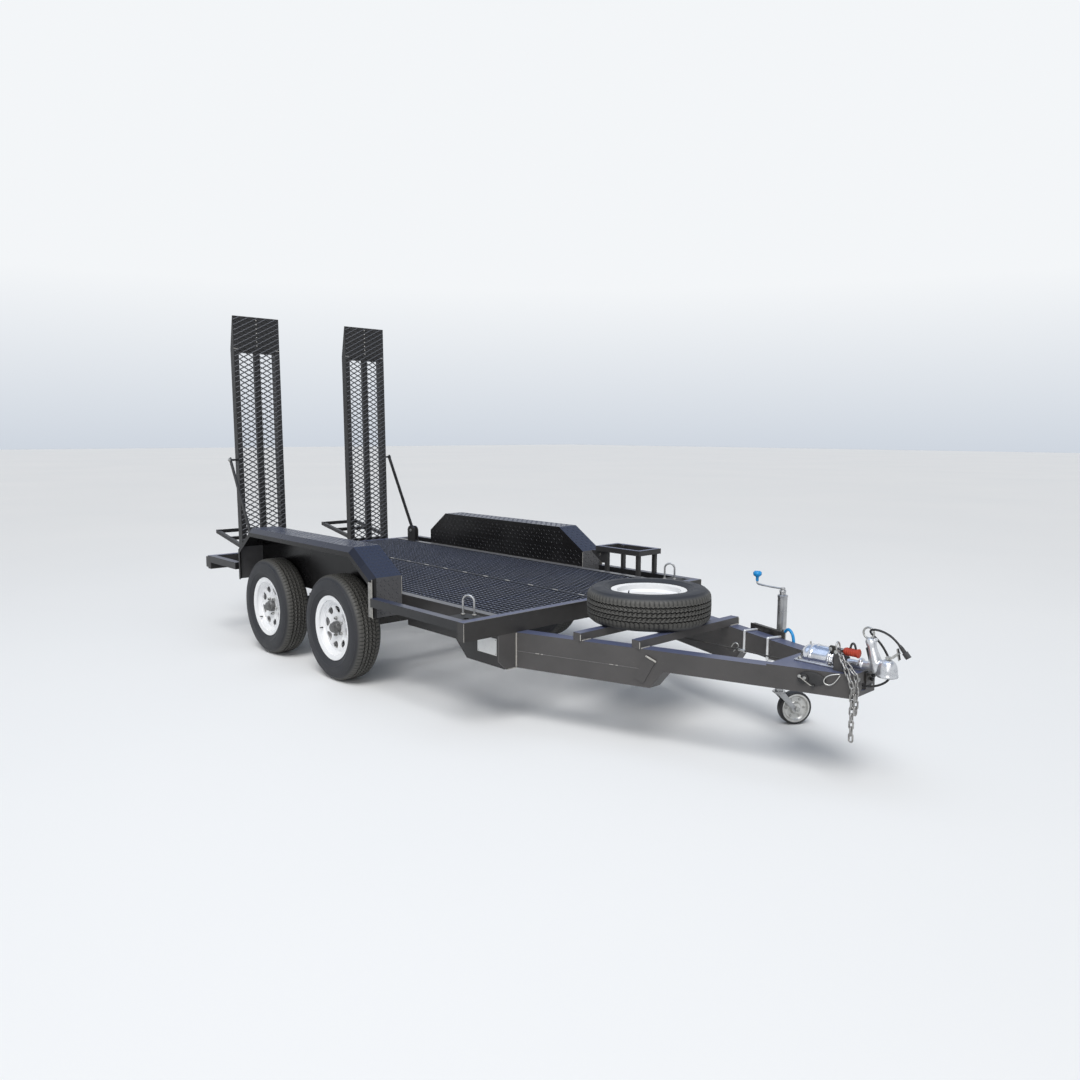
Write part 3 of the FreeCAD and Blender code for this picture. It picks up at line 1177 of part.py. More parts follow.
# Override coupling: a cast housing with a half-round top is bolted on the nose. A shaft slides in
# it and carries the head, with the ball socket and an upright hand post that ends in a wire eye.
housing_floor = rail_top + size.nose_plate_thick
housing_x = tip_x - size.housing_behind
housing = new_body("housing_cover")
housing_sketch = new_sketch(housing, "YZ_Plane")
draw_arch(housing_sketch, size.housing_half_width, 0, size.housing_shoulder)
housing_pad = pad(housing, housing_sketch, size.housing_length)
doc.recompute()
end_edges = [f"Edge{number}" for number, edge in enumerate(housing_pad.Shape.Edges, start=1)
             if edge.BoundBox.XLength < 0.01 and edge.BoundBox.ZMax > 1]
housing_round = housing.newObject("PartDesign::Fillet", "housing_round")
housing_round.Base = (housing_pad, end_edges)
housing_round.setExpression("Radius", size.housing_rounding.text)
housing_middle = housing_x + size.housing_length / 2
place(housing, housing_middle, 0, housing_floor)
flange = prism("housing_flange", "XY_Plane", [
    (-size.housing_length / 2, -size.flange_half), (size.housing_length / 2, -size.flange_half),
    (size.housing_length / 2, size.flange_half), (-size.housing_length / 2, size.flange_half),
], size.flange_thick)
place(flange, housing_middle, 0, housing_floor + size.flange_thick / 2)
flange_bolts = []
for end in (-1, 1):
    for edge in (-1, 1):
        flange_bolts.append(cylinder(
            f"flange_bolt_{end + 1}_{edge + 1}", housing_middle + end * (size.housing_length / 2 - 24),
            edge * (size.flange_half - 13), housing_floor + size.flange_thick, 9, 9))
shaft_hole = cylinder("shaft_hole", housing_x - 1, 0, size.shaft_height, size.shaft_radius + size.running_gap,
                      size.housing_length + 2, along_x)
brake_x = tip_x - size.brake_pivot_behind
brake_post = box("brake_post", brake_x - 12, -size.brake_out + 6, housing_floor + 20, 24, 8,
                 size.brake_pivot_height - housing_floor - 8)
brake_pin = cylinder("brake_pin", brake_x, -size.brake_out - 8, size.brake_pivot_height, 6, 20, along_y)
keep(fuse("coupling_housing",
          [cut("housing_bored", fuse("housing_cast", [housing, flange]), shaft_hole), brake_post, brake_pin]
          + flange_bolts))

socket_x = tip_x + size.socket_ahead
shaft_rear = housing_x + 60
shaft = cylinder("coupling_shaft", shaft_rear, 0, size.shaft_height, size.shaft_radius,
                 socket_x - shaft_rear - size.dome_radius * 0.6, along_x)
dome_height = size.dome_top - size.dome_bottom
dome = revolved("socket_dome", [
    (0, 0), (size.dome_radius + 4, 0), (size.dome_radius + 4, 9), (size.dome_radius, 14),
    (size.dome_radius * 0.97, dome_height * 0.42), (size.dome_radius * 0.86, dome_height * 0.66),
    (size.dome_radius * 0.66, dome_height * 0.85), (size.dome_radius * 0.36, dome_height * 0.97), (0, dome_height),
], "XZ_Plane")
place(dome, socket_x, 0, size.dome_bottom)
post_x = socket_x - size.dome_radius - size.post_root_radius * 0.1
post = revolved("hand_post", [
    (0, 0), (size.post_root_radius * 1.45, 0), (size.post_root_radius * 1.15, 26), (size.post_root_radius, 48),
    (size.post_tip_radius * 1.12, size.post_length * 0.62), (size.post_tip_radius, size.post_length * 0.8),
    (size.post_tip_radius * 1.3, size.post_length * 0.88), (size.post_tip_radius * 1.3, size.post_length * 0.97),
    (size.post_tip_radius * 0.9, size.post_length), (0, size.post_length),
], "XZ_Plane")
post_foot = size.dome_bottom + 22
post_turn = Rotation(Vector(0, 1, 0), -size.post_lean.number)
place(post, post_x, 0, post_foot, post_turn)
web = prism("head_web", "XZ_Plane", [
    (post_x - socket_x - size.post_root_radius * 1.3, 18), (-size.dome_radius * 0.9, 4), (0, 2), (0, dome_height * 0.8),
    (-size.dome_radius * 0.5, dome_height * 0.95), (post_x - socket_x - size.post_root_radius, dome_height * 0.9),
], size.post_root_radius * 2)
place(web, socket_x, 0, size.dome_bottom)
eye_ring = doc.addObject("Part::Torus", "post_eye")
eye_ring.setExpression("Radius1", size.eye_ring_radius.text)
eye_ring.setExpression("Radius2", size.eye_rod_radius.text)
eye_rise = size.post_length + size.eye_ring_radius
eye_x = post_x - eye_rise * sine(size.post_lean)
eye_z = post_foot + eye_rise * cosine(size.post_lean)
place(eye_ring, eye_x, 0, eye_z, Rotation(Vector(1, 0, 0), 90))
head_solid = fuse("head_solid", [shaft, dome, post, web, eye_ring])
ball_bore = revolved("ball_bore", [
    (0, -10), (size.socket_radius, -10), (size.socket_radius, size.socket_depth),
    (size.socket_radius * 0.8, size.socket_depth + 12), (size.socket_radius * 0.4, size.socket_depth + 19),
    (0, size.socket_depth + 21),
], "XZ_Plane")
place(ball_bore, socket_x, 0, size.dome_bottom)
keep(cut("coupling_head", head_solid, ball_bore))

# The release trigger is a folded strap on top of the dome, with a cross pin at its tip.
trigger_strap = prism("trigger_strap", "XZ_Plane", [
    (-8, 5), (-4, 3), (2, 0.6), (8, 0), (20, 6), (50, 34), (44, 40), (16, 15), (4, 11), (-8, 11),
], size.trigger_width)
trigger_slot = box("trigger_slot", 14, -size.trigger_width / 2 + 4, -2, 22, size.trigger_width - 8, 60)
trigger_pin = cylinder("trigger_pin", 47, 0, 2, 3, 52, Rotation(Vector(0, 1, 0), -12))
trigger_hinge = cylinder("trigger_hinge", 2, -size.trigger_width / 2 - 2, 6, 5.8, size.trigger_width + 4, along_y)
trigger = fuse("release_trigger",
               [cut("trigger_strap_open", trigger_strap, trigger_slot), trigger_pin, trigger_hinge])
keep(place(trigger, socket_x, 0, size.dome_top + 0.3))

# The handbrake lever lies beside the coupling with its grip forwards.
brake_arm = box("brake_arm", brake_x, -size.brake_out - 4, size.brake_pivot_height - 8, size.brake_length, 8, 16)
brake_eye = cylinder("brake_eye", brake_x, -size.brake_out - 4, size.brake_pivot_height, 14, 8, along_y)
brake_grip = cylinder("brake_grip_body", brake_x + size.brake_length - size.grip_length, -size.brake_out,
                      size.brake_pivot_height, size.grip_radius, size.grip_length, along_x)
brake_knob = cylinder("brake_grip_end", brake_x + size.brake_length - 16, -size.brake_out,
                      size.brake_pivot_height, size.grip_radius + 3, 16, along_x)
brake_solid = fuse("brake_solid", [brake_arm, brake_eye, brake_grip, brake_knob])
brake_hole = cylinder("brake_hole", brake_x, -size.brake_out - 30, size.brake_pivot_height,
                      6 + size.running_gap, 60, along_y)
keep(cut("handbrake_lever", brake_solid, brake_hole))

# Safety chains: each hangs from the chain post over the front edge of the nose, and then straight
# down. A link starts where the last one ends, and every other link is turned a quarter.
link_pitch = size.link_length - 2 * size.link_rod - size.link_gap


def chain_link(label):
    body = new_body(label)
    sketch = new_sketch(body, "XZ_Plane")
    for width, length in ((size.link_width, size.link_length),
                          (size.link_width - 2 * size.link_rod, size.link_length - 2 * size.link_rod)):
        half = width / 2
        high = length / 2
        bevel = half * 0.55
        draw_outline(sketch, [
            (half, high - bevel), (half - bevel, high), (bevel - half, high), (-half, high - bevel),
            (-half, bevel - high), (bevel - half, -high), (half - bevel, -high), (half, bevel - high),
        ])
    pad(body, sketch, size.link_rod)
    return body


def chain_along(name, route, count):
    """Marches along the route's straight runs, one link's pitch at a time."""
    made = []
    here = vector(route[0])
    corners = [vector(point) for point in route[1:]]
    for number in range(count):
        reach = link_pitch.number
        while len(corners) > 1 and (corners[0] - here).Length < reach:
            corners.pop(0)
        step = (corners[0] - here).normalize() * reach
        turn = Rotation(Vector(0, 0, -1), step)
        quarter = Rotation(Vector(0, 0, 1), 90 * ((number + 1) % 2))
        made.append(place(chain_link(f"link_{name}_{number}"), *(here + step / 2), turn.multiply(quarter)))
        here = here + step
    return made


post_top = rail_top + size.nose_plate_thick
high_hole = (front_x + post_middle + size.chain_high_x, -size.chain_out, post_top + size.chain_high_z)
low_hole = (front_x + post_middle + size.chain_low_x, -size.chain_out, post_top + size.chain_low_z)
high_route = [high_hole, (tip_x - 8, -size.chain_out - 7, size.deck_top - 50),
              (tip_x + 30, -size.chain_out - 22, size.deck_top - 84),
              (tip_x + 37, -size.chain_out - 22, size.deck_top - 120), (tip_x + 37, -size.chain_out - 22, 0)]
low_route = [low_hole, (tip_x + 8, -size.chain_out + 2, size.deck_top - 59),
             (tip_x + 28, -size.chain_out + 8, size.deck_top - 92),
             (tip_x + 32, -size.chain_out + 10, size.deck_top - 126), (tip_x + 32, -size.chain_out + 10, 0)]
links = chain_along("high", high_route, int(size.high_links.number))
links += chain_along("low", low_route, int(size.low_links.number))
keep(group("safety_chains", links))

# The brake cable runs taut along the centre from the coupling to a stay on the front axle.
brake_stay = box("brake_stay", axle_places["front"] - 4, size.brake_cable_y - 15, axle_top, 8, 30,
                 size.brake_cable_z - axle_top + 15)
cable_rear = axle_places["front"] + 4
brake_cable = cylinder("brake_cable_run", cable_rear, size.brake_cable_y, size.brake_cable_z, 4,
                       housing_x + 60 - cable_rear, along_x)
brake_hanger = box("brake_hanger", housing_x + 52, size.brake_cable_y - 12, size.brake_cable_z - 12, 8, 24,
                   rail_top - size.brake_cable_z + 12)
keep(fuse("brake_cable", [brake_stay, brake_cable, brake_hanger]))

# Plug lead: a stiff cable leaves the nose, rises behind the head, passes through the wire eye and
# ends in its plug. Its bends are rounded where two straight runs meet.
LEAD_ROUTE = (
    (-100, 0, 438), (-10, 0, 438), (55, 10, 444), (100, 46, 474), (100, 66, 530), (68, 64, 600),
    (34, 44, 652), (19, 9.4, 681), (39, -21, 705), (90, -26, 706), (145, -24, 682), (180, -22, 640),
)


def rounded_cord(label, route, radius):
    """A round cord along straight runs joined by arcs that touch both runs."""
    points = [Vector(*point) for point in route]
    edges = []
    radii = []
    start = points[0]
    for before, corner, after in zip(points, points[1:], points[2:]):
        back = (before - corner).normalize()
        onwards = (after - corner).normalize()
        half_turn = (math.pi - back.getAngle(onwards)) / 2
        shorter = min((before - corner).Length, (after - corner).Length)
        bend = 0.45 * shorter / math.tan(half_turn)
        setback = bend * math.tan(half_turn)
        first = corner + back * setback
        last = corner + onwards * setback
        bisector = (back + onwards).normalize()
        middle = corner + bisector * (bend / math.cos(half_turn) - bend)
        edges.append(Part.makeLine(start, first))
        edges.append(Part.Arc(first, middle, last).toShape())
        radii.append(round(bend, 1))
        start = last
    edges.append(Part.makeLine(start, points[-1]))
    spine = Part.Wire(edges)
    print(label, "length", round(spine.Length, 1), "bend radii", radii)
    ring = Part.Wire(Part.makeCircle(radius, points[0], points[1] - points[0]))
    thing = doc.addObject("Part::Feature", label)
    thing.Shape = spine.makePipeShell([ring], True, False, 2)
    return thing


lead = rounded_cord("plug_lead", LEAD_ROUTE, size.lead_radius.number)
keep(place(lead, tip_x, 0, 0))
lead_end = Vector(*LEAD_ROUTE[-1])
lead_heading = (lead_end - Vector(*LEAD_ROUTE[-2])).normalize()
plug = fuse("trailer_plug", [
    cylinder("plug_boot", 0, 0, 0, size.lead_radius + 2, 16),
    box("plug_shell", -size.plug_thick / 2, -size.plug_half, 14, size.plug_thick, 2 * size.plug_half, size.plug_length),
])
plug.Placement = Placement(lead_end + Vector(tip_x.number, 0, 0), Rotation(Vector(0, 0, 1), lead_heading))
keep(plug)

# A bare plate on the near chassis rail, and a lamp at each rear corner.
keep(box("bare_plate", front_x - 233, -size.chassis_rail_out - size.plate_thick, 370,
         size.plate_width, size.plate_thick, size.plate_height))
lamp_far = box("lamp_far", rear_x - size.lamp_depth, half_width - size.lamp_width,
               frame_bottom + 10, size.lamp_depth, size.lamp_width, size.lamp_height)
keep(group("rear_lamps", [lamp_far, mirrored("lamp_near", lamp_far)]))

doc.recompute()

for thing in doc.Objects:
    state = set(thing.State)
    assert not state & {"Invalid", "Error"}, f"{thing.Label} is not sound"
for node in nodes:
    assert not node.Shape.isNull() and node.Shape.isValid(), f"{node.Label} has no sound shape"

os.makedirs("parts", exist_ok=True)
for node in nodes:
    node.Shape.exportStep(f"parts/{node.Label}.step")
print(len(nodes), "sub-parts written")
print("ramp stay length", round(stay_length, 1), "and its angle", round(stay_angle, 2))
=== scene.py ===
import bpy
import math
from mathutils import Matrix, Vector


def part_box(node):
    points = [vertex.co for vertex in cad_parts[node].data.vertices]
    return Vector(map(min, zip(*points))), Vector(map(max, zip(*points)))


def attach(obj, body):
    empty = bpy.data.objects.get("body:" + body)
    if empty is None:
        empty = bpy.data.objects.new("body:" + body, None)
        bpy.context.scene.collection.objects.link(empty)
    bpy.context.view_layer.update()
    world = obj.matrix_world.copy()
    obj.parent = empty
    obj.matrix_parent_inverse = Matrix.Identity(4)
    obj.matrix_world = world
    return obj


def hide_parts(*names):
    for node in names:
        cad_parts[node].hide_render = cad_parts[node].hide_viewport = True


# A tandem plant trailer, dressed in the order in which it is put together: the plug lead, the
# running gear and spare, the frame, deck and guards, the lamps, ramps, coupling and chains, and the
# jockey stand and brake fittings.
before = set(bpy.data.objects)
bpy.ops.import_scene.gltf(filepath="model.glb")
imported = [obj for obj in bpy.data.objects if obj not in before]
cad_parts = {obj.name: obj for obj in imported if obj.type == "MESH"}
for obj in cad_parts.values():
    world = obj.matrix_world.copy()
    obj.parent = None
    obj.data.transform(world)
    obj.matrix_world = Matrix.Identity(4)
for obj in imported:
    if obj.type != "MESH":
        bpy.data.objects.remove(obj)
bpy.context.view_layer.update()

# The view: a camera at head height off the near front corner, looking back over the drawbar.
front_face = 1.006
heading, tilt, roll = math.radians(137.146), math.radians(-7.112), math.radians(0.186)
looking = Vector((math.cos(heading) * math.cos(tilt), math.sin(heading) * math.cos(tilt), math.sin(tilt)))
right_hand = looking.cross(Vector((0, 0, 1))).normalized()
overhead = right_hand.cross(looking)
right_rolled = right_hand * math.cos(roll) + overhead * math.sin(roll)
up_rolled = overhead * math.cos(roll) - right_hand * math.sin(roll)
bpy.ops.object.camera_add(location=(front_face + 3.327, -3.545, 1.542))
camera = bpy.context.object
camera.rotation_euler = Matrix((right_rolled, up_rolled, -looking)).transposed().to_euler()
camera.data.lens = 28.58
camera.data.sensor_width = 36
camera.data.clip_end = 200
bpy.context.scene.camera = camera


# Finishes are built from these makers: they add a shader node, mix two colours, stretch a value to
# another range, and start a material with its Principled surface or a group.
def add_node(tree, kind, inputs=None, **settings):
    """A shader node with its settings, and its inputs set or linked by name or number."""
    made = tree.nodes.new(f"ShaderNode{kind}")
    for key, value in settings.items():
        setattr(made, key, value)
    for key, value in (inputs or {}).items():
        if isinstance(value, bpy.types.NodeSocket):
            tree.links.new(value, made.inputs[key])
        else:
            made.inputs[key].default_value = value
    return made


def mix(tree, share, first, second):
    """The output of a mix of two colours, each one given or linked."""
    first, second = (colour if isinstance(colour, bpy.types.NodeSocket) else (*colour, 1)
        for colour in (first, second))
    return add_node(tree, "MixRGB", {"Fac": share, "Color1": first, "Color2": second}).outputs[0]


def stretch(tree, value, low=0.0, high=1.0, to_low=0.0, to_high=1.0):
    """The output of a range node, which takes a value from one range to another."""
    return add_node(tree, "MapRange",
        {"Value": value, "From Min": low, "From Max": high, "To Min": to_low,
        "To Max": to_high}).outputs["Result"]


def new_finish(name, **surface):
    """A material with one Principled surface. Returns it, its node tree and the surface node."""
    material = bpy.data.materials.new(name)
    material.use_nodes = True
    tree = material.node_tree
    tree.nodes.clear()
    principled = add_node(tree, "BsdfPrincipled")
    for key, value in surface.items():
        principled.inputs[key.replace("_", " ").title().replace("Ior", "IOR")].default_value = value
    output = add_node(tree, "OutputMaterial")
    tree.links.new(principled.outputs["BSDF"], output.inputs["Surface"])
    return material, tree, principled


def start_group(name, inputs, outputs):
    """An empty shader node group with named sockets. Returns it with its two end nodes."""
    group = bpy.data.node_groups.new(name, "ShaderNodeTree")
    for label, kind, value in inputs:
        socket = group.interface.new_socket(name=label, in_out="INPUT", socket_type=f"NodeSocket{kind}")
        if value is not None:
            socket.default_value = value
    for label, kind in outputs:
        group.interface.new_socket(name=label, in_out="OUTPUT", socket_type=f"NodeSocket{kind}")
    return group, group.nodes.new("NodeGroupInput"), group.nodes.new("NodeGroupOutput")


# Every surface on a working trailer is a little uneven. This group gives broad cloudy patches, a
# fine grain and sparse scuffs, all from the place on the object.
uneven, uneven_in, uneven_out = start_group("uneven surface",
    [("Place", "Vector", None), ("Patch Size", "Float", 4.0), ("Grain Size", "Float", 220.0)],
    [("Patches", "Float"), ("Grain", "Float"), ("Scuffs", "Float")])
place_in = uneven_in.outputs["Place"]
patches = add_node(uneven, "TexNoise",
    {"Vector": place_in, "Scale": uneven_in.outputs["Patch Size"], "Detail": 5.0, "Roughness": 0.6})
grain = add_node(uneven, "TexNoise",
    {"Vector": place_in, "Scale": uneven_in.outputs["Grain Size"], "Detail": 3.0})
streaks = add_node(uneven, "Mapping", {"Vector": place_in, "Scale": (1.0, 1.0, 3.0)})
scratches = add_node(uneven, "TexNoise",
    {"Vector": streaks.outputs["Vector"], "Scale": 34.0, "Detail": 7.0, "Roughness": 0.75})
scuffs = stretch(uneven, scratches.outputs["Fac"], 0.63, 0.72)
spread = stretch(uneven, patches.outputs["Fac"], 0.3, 0.7)
for label, value in (("Patches", spread), ("Grain", grain.outputs["Fac"]), ("Scuffs", scuffs)):
    uneven.links.new(value, uneven_out.inputs[label])


def uneven_node(tree, patch, grain):
    """The uneven group in a material, with the scale of its patches and its grain."""
    place = add_node(tree, "TexCoord").outputs["Object"]
    return add_node(tree, "Group", {"Place": place, "Patch Size": patch, "Grain Size": grain},
        node_tree=uneven)


def link_surface(tree, principled, group, colour, rough, bump, bump_depth):
    """Links the surface's colour, its uneven gloss and its fine grain."""
    gloss = stretch(tree, group.outputs["Patches"], to_low=rough[0], to_high=rough[1])
    relief = add_node(tree, "Bump",
        {"Height": group.outputs["Grain"], "Strength": bump, "Distance": bump_depth})
    for label, value in (("Base Color", colour), ("Roughness", gloss),
            ("Normal", relief.outputs["Normal"])):
        tree.links.new(value, principled.inputs[label])


def uneven_finish(name, dark, light, scuff, patch, grain, rough, bump=0.15, bump_depth=0.0004,
        scuff_share=0.5, painted_sheen=None, painted_sheen_side=(0, 0, 1), painted_sheen_from=0.55, front=None, **surface):
    """A finish whose colour drifts from dark to light, with scuffs, a fine grain and uneven gloss.
    A painted sheen tints the faces that look along its side, as a painted sky reflection and highlight,
    and a front colour paints light on the faces that look along the drawbar."""
    material, tree, principled = new_finish(name, **surface)
    group = uneven_node(tree, patch, grain)
    colour = mix(tree, group.outputs["Patches"], dark, light)
    share = add_node(tree, "Math", {0: group.outputs["Scuffs"], 1: scuff_share}, operation="MULTIPLY")
    colour = mix(tree, share.outputs[0], colour, scuff)
    # Painted light: the sheen colour paints a sky reflection and highlight on faces along its side, and the
    # front colour paints lamp light on faces that look along the drawbar.
    for tint, side, begins, full in ((painted_sheen, painted_sheen_side, painted_sheen_from, 1.0), (front, (1, 0, 0), 0.85, 0.97)):
        if tint:
            normal = add_node(tree, "TexCoord").outputs["Normal"]
            facing = add_node(tree, "VectorMath", {0: normal, 1: side}, operation="DOT_PRODUCT")
            colour = mix(tree, stretch(tree, facing.outputs["Value"], begins, full), colour, tint)
    link_surface(tree, principled, group, colour, rough, bump, bump_depth)
    return material


# The plug lead: a stiff black rubber cable that leaves the nose, rises behind the coupling head,
# passes through the wire eye on the hand post and hangs with its flat plug at the end.
nose_tip = front_face + 1.6
lead_radius = 0.005
lead_route = [Vector((nose_tip + x, y, z))
    for x, y, z in ((-0.1, 0, 0.438), (-0.01, 0, 0.438), (0.055, 0.01, 0.444), (0.1, 0.046, 0.474),
    (0.1, 0.066, 0.53), (0.068, 0.064, 0.6), (0.034, 0.044, 0.652), (0.019, 0.0094, 0.681),
    (0.039, -0.021, 0.705), (0.09, -0.026, 0.706), (0.145, -0.024, 0.682), (0.18, -0.022, 0.64))]
black_rubber = uneven_finish("black rubber", (0.012, 0.012, 0.013), (0.022, 0.022, 0.023),
    (0.06, 0.06, 0.06), patch=9.0, grain=600.0, rough=(0.42, 0.6), bump=0.06)


def bent_line(name, points, radius, finish, sides=3, steps=8):
    """A curve along the points with a round section."""
    curve = bpy.data.curves.new(name, "CURVE")
    curve.dimensions = "3D"
    line = curve.splines.new("NURBS")
    line.points.add(len(points) - 1)
    for point, place in zip(line.points, points):
        point.co = (*place, 1)
    line.order_u = 3
    line.use_endpoint_u = True
    curve.bevel_depth = radius
    curve.bevel_resolution = sides
    curve.resolution_u = steps
    curve.use_fill_caps = True
    curve.materials.append(finish)
    made = bpy.data.objects.new(name, curve)
    bpy.context.collection.objects.link(made)
    return made


lead_cable = bent_line("lead_cable", lead_route, lead_radius, black_rubber, steps=16)
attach(lead_cable, "head")
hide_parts("plug_lead")


# Small makers for hand-made pieces. Each starts from a primitive with its place in its mesh, and
# the next steps shape it.
def shape(name, finish, add, **settings):
    """A new primitive from its operator, named, with its place in its mesh."""
    bpy.ops.object.select_all(action="DESELECT")
    add(**settings)
    made = bpy.context.object
    made.name = made.data.name = name
    bpy.ops.object.transform_apply(location=True, rotation=True, scale=True)
    if finish:
        made.data.materials.append(finish)
    return made


def pick(piece):
    """Selects one piece alone, as the active one."""
    bpy.ops.object.select_all(action="DESELECT")
    bpy.context.view_layer.objects.active = piece
    piece.select_set(True)


def apply_modifier(piece, kind, **settings):
    """Adds one modifier to a piece and applies it."""
    pick(piece)
    modifier = piece.modifiers.new(kind.title(), kind)
    for key, value in settings.items():
        setattr(modifier, key, value)
    bpy.ops.object.modifier_apply(modifier=modifier.name)
    return piece


def smooth(piece, angle=35):
    """Smooth shading that keeps edges sharper than the angle."""
    pick(piece)
    bpy.ops.object.shade_smooth_by_angle(angle=math.radians(angle))
    return piece


def ease(piece, width, segments=2, **settings):
    """Eased edges."""
    return apply_modifier(piece, "BEVEL", width=width, segments=segments, limit_method="ANGLE", **settings)


def repeat(piece, count, step):
    """A row of copies in the piece's own mesh, one step apart."""
    apply_modifier(piece, "ARRAY", count=count, use_relative_offset=False, use_constant_offset=True,
        constant_offset_displace=step)


def moved(piece, place, turn=Matrix.Identity(4)):
    """The piece, turned about the origin and then moved to its place."""
    piece.data.transform(Matrix.Translation(place) @ turn)
    return piece


def turn_by(degrees, axis):
    """The matrix of a turn about an axis."""
    return Matrix.Rotation(math.radians(degrees), 4, axis)


def aimed(direction):
    """The turn that takes the upright to a direction."""
    return Vector(direction).to_track_quat("Z", "Y")


def block(name, middle, size, finish=None, turn=(0, 0, 0), bevel=0.0, segments=2):
    """A bar or plate with eased edges."""
    made = shape(name, finish, bpy.ops.mesh.primitive_cube_add, size=1, location=middle, rotation=turn,
        scale=size)
    return smooth(ease(made, bevel, segments)) if bevel else made


def rod(name, start, end, radius, finish=None, sides=24, bevel=0.0, tip=None):
    """A round bar from one point to another, with eased ends. A tip radius makes it taper."""
    start, end = Vector(start), Vector(end)
    made = shape(name, finish, bpy.ops.mesh.primitive_cone_add, vertices=sides, radius1=radius,
        radius2=radius if tip is None else tip, depth=(end - start).length, location=(start + end) / 2,
        rotation=aimed(end - start).to_euler())
    if bevel:
        ease(made, bevel, angle_limit=math.radians(50))
    return smooth(made)


def join(name, pieces):
    """Several pieces made one."""
    bpy.ops.object.select_all(action="DESELECT")
    for piece in pieces:
        piece.select_set(True)
    bpy.context.view_layer.objects.active = pieces[0]
    bpy.ops.object.join()
    pieces[0].name = pieces[0].data.name = name
    return pieces[0]


def copy_piece(piece, name, matrix):
    """A copy with its own mesh, moved by the matrix."""
    pick(piece)
    bpy.ops.object.duplicate()
    made = bpy.context.object
    made.name = made.data.name = name
    made.data.transform(matrix)
    if matrix.is_negative:
        made.data.flip_normals()
    return made


def paint(piece, finish):
    """Gives a piece one finish in place of those it has."""
    piece.data.materials.clear()
    piece.data.materials.append(finish)


def dress(finish, *nodes):
    """Gives CAD pieces a finish."""
    for name in nodes:
        paint(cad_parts[name], finish)


def wire(name, points, radius, finish, sides=3):
    """A bent rod or cable along the points, as a mesh tube."""
    pick(bent_line(name, points, radius, finish, sides))
    bpy.ops.object.convert(target="MESH")
    bpy.ops.object.shade_smooth()
    return bpy.context.object


# The plug is a flat black moulding with a ribbed boot on the cable and a sunk face.
plug_end = lead_route[-1]
plug_heading = (plug_end - lead_route[-2]).normalized()
black_moulding = uneven_finish("black moulding", (0.014, 0.014, 0.015), (0.03, 0.03, 0.031),
    (0.09, 0.09, 0.09), patch=12.0, grain=900.0, rough=(0.35, 0.5), bump=0.05)
boot = rod("plug_boot", plug_end - plug_heading * 0.022, plug_end + plug_heading * 0.014, 0.0062,
    black_moulding, tip=0.009, bevel=0.001)
boot_ribs = [rod(f"boot_rib_{number}", plug_end + plug_heading * (0.004 * number - 0.012),
    plug_end + plug_heading * (0.004 * number - 0.0105), 0.0084 + 0.0004 * number, black_moulding)
    for number in range(4)]
shell = block("plug_shell", (0, 0, 0.029), (0.014, 0.034, 0.03), black_moulding)
bpy.ops.object.mode_set(mode="EDIT")
bpy.ops.mesh.select_all(action="DESELECT")
bpy.ops.object.mode_set(mode="OBJECT")
for face in shell.data.polygons:
    face.select = face.normal.z > 0.9
bpy.ops.object.mode_set(mode="EDIT")
bpy.ops.mesh.select_mode(type="FACE")
bpy.ops.mesh.inset(thickness=0.002)
bpy.ops.transform.translate(value=(0, 0, -0.004))
bpy.ops.object.mode_set(mode="OBJECT")
smooth(ease(shell, 0.0022, 3))
moved(shell, plug_end, plug_heading.to_track_quat("Z", "X").to_matrix().to_4x4())
plug = join("plug_body", [boot, shell] + boot_ribs)
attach(plug, "head")
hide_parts("trailer_plug")

# The studio: a pale floor that runs off into a pale surround, with soft lamps overhead.
floor_finish, floor_tree, floor_surface = new_finish("pale floor", roughness=0.9, specular_ior_level=0.1)
floor_place = add_node(floor_tree, "TexCoord").outputs["Object"]
floor_cloud = add_node(floor_tree, "TexNoise", {"Vector": floor_place, "Scale": 0.25, "Detail": 2.0})
floor_tint = mix(floor_tree, floor_cloud.outputs["Fac"], (0.84, 0.86, 0.88), (0.9, 0.91, 0.92))
floor_tree.links.new(floor_tint, floor_surface.inputs["Base Color"])
floor = shape("studio_floor", floor_finish, bpy.ops.mesh.primitive_plane_add, size=160)

world = bpy.data.worlds.new("studio surround")
bpy.context.scene.world = world
world.use_nodes = True
surround = world.node_tree
surround.nodes.clear()
rays = add_node(surround, "LightPath")
seen = add_node(surround, "Math", {0: rays.outputs["Is Camera Ray"], 1: rays.outputs["Is Glossy Ray"]},
    operation="MAXIMUM")
seen_through = add_node(surround, "Math", {0: seen.outputs[0], 1: rays.outputs["Is Transmission Ray"]},
    operation="MAXIMUM")
upwards = add_node(surround, "SeparateXYZ", {0: add_node(surround, "TexCoord").outputs["Generated"]})
haze = stretch(surround, upwards.outputs["Z"], -0.02, 0.16)
height = stretch(surround, upwards.outputs["Z"], 0.42, 0.8)
haze_tint = mix(surround, haze, (0.62, 0.67, 0.74), (0.9, 0.92, 0.94))
sky_tint = mix(surround, height, haze_tint, (0.3, 0.42, 0.66))
soft_light = add_node(surround, "Background", {"Color": (0.84, 0.89, 0.96, 1), "Strength": 0.34})
pale_view = add_node(surround, "Background", {"Color": sky_tint, "Strength": 1.0})
either = add_node(surround, "MixShader",
    {0: seen_through.outputs[0], 1: soft_light.outputs[0], 2: pale_view.outputs[0]})
add_node(surround, "OutputWorld", {"Surface": either.outputs[0]})

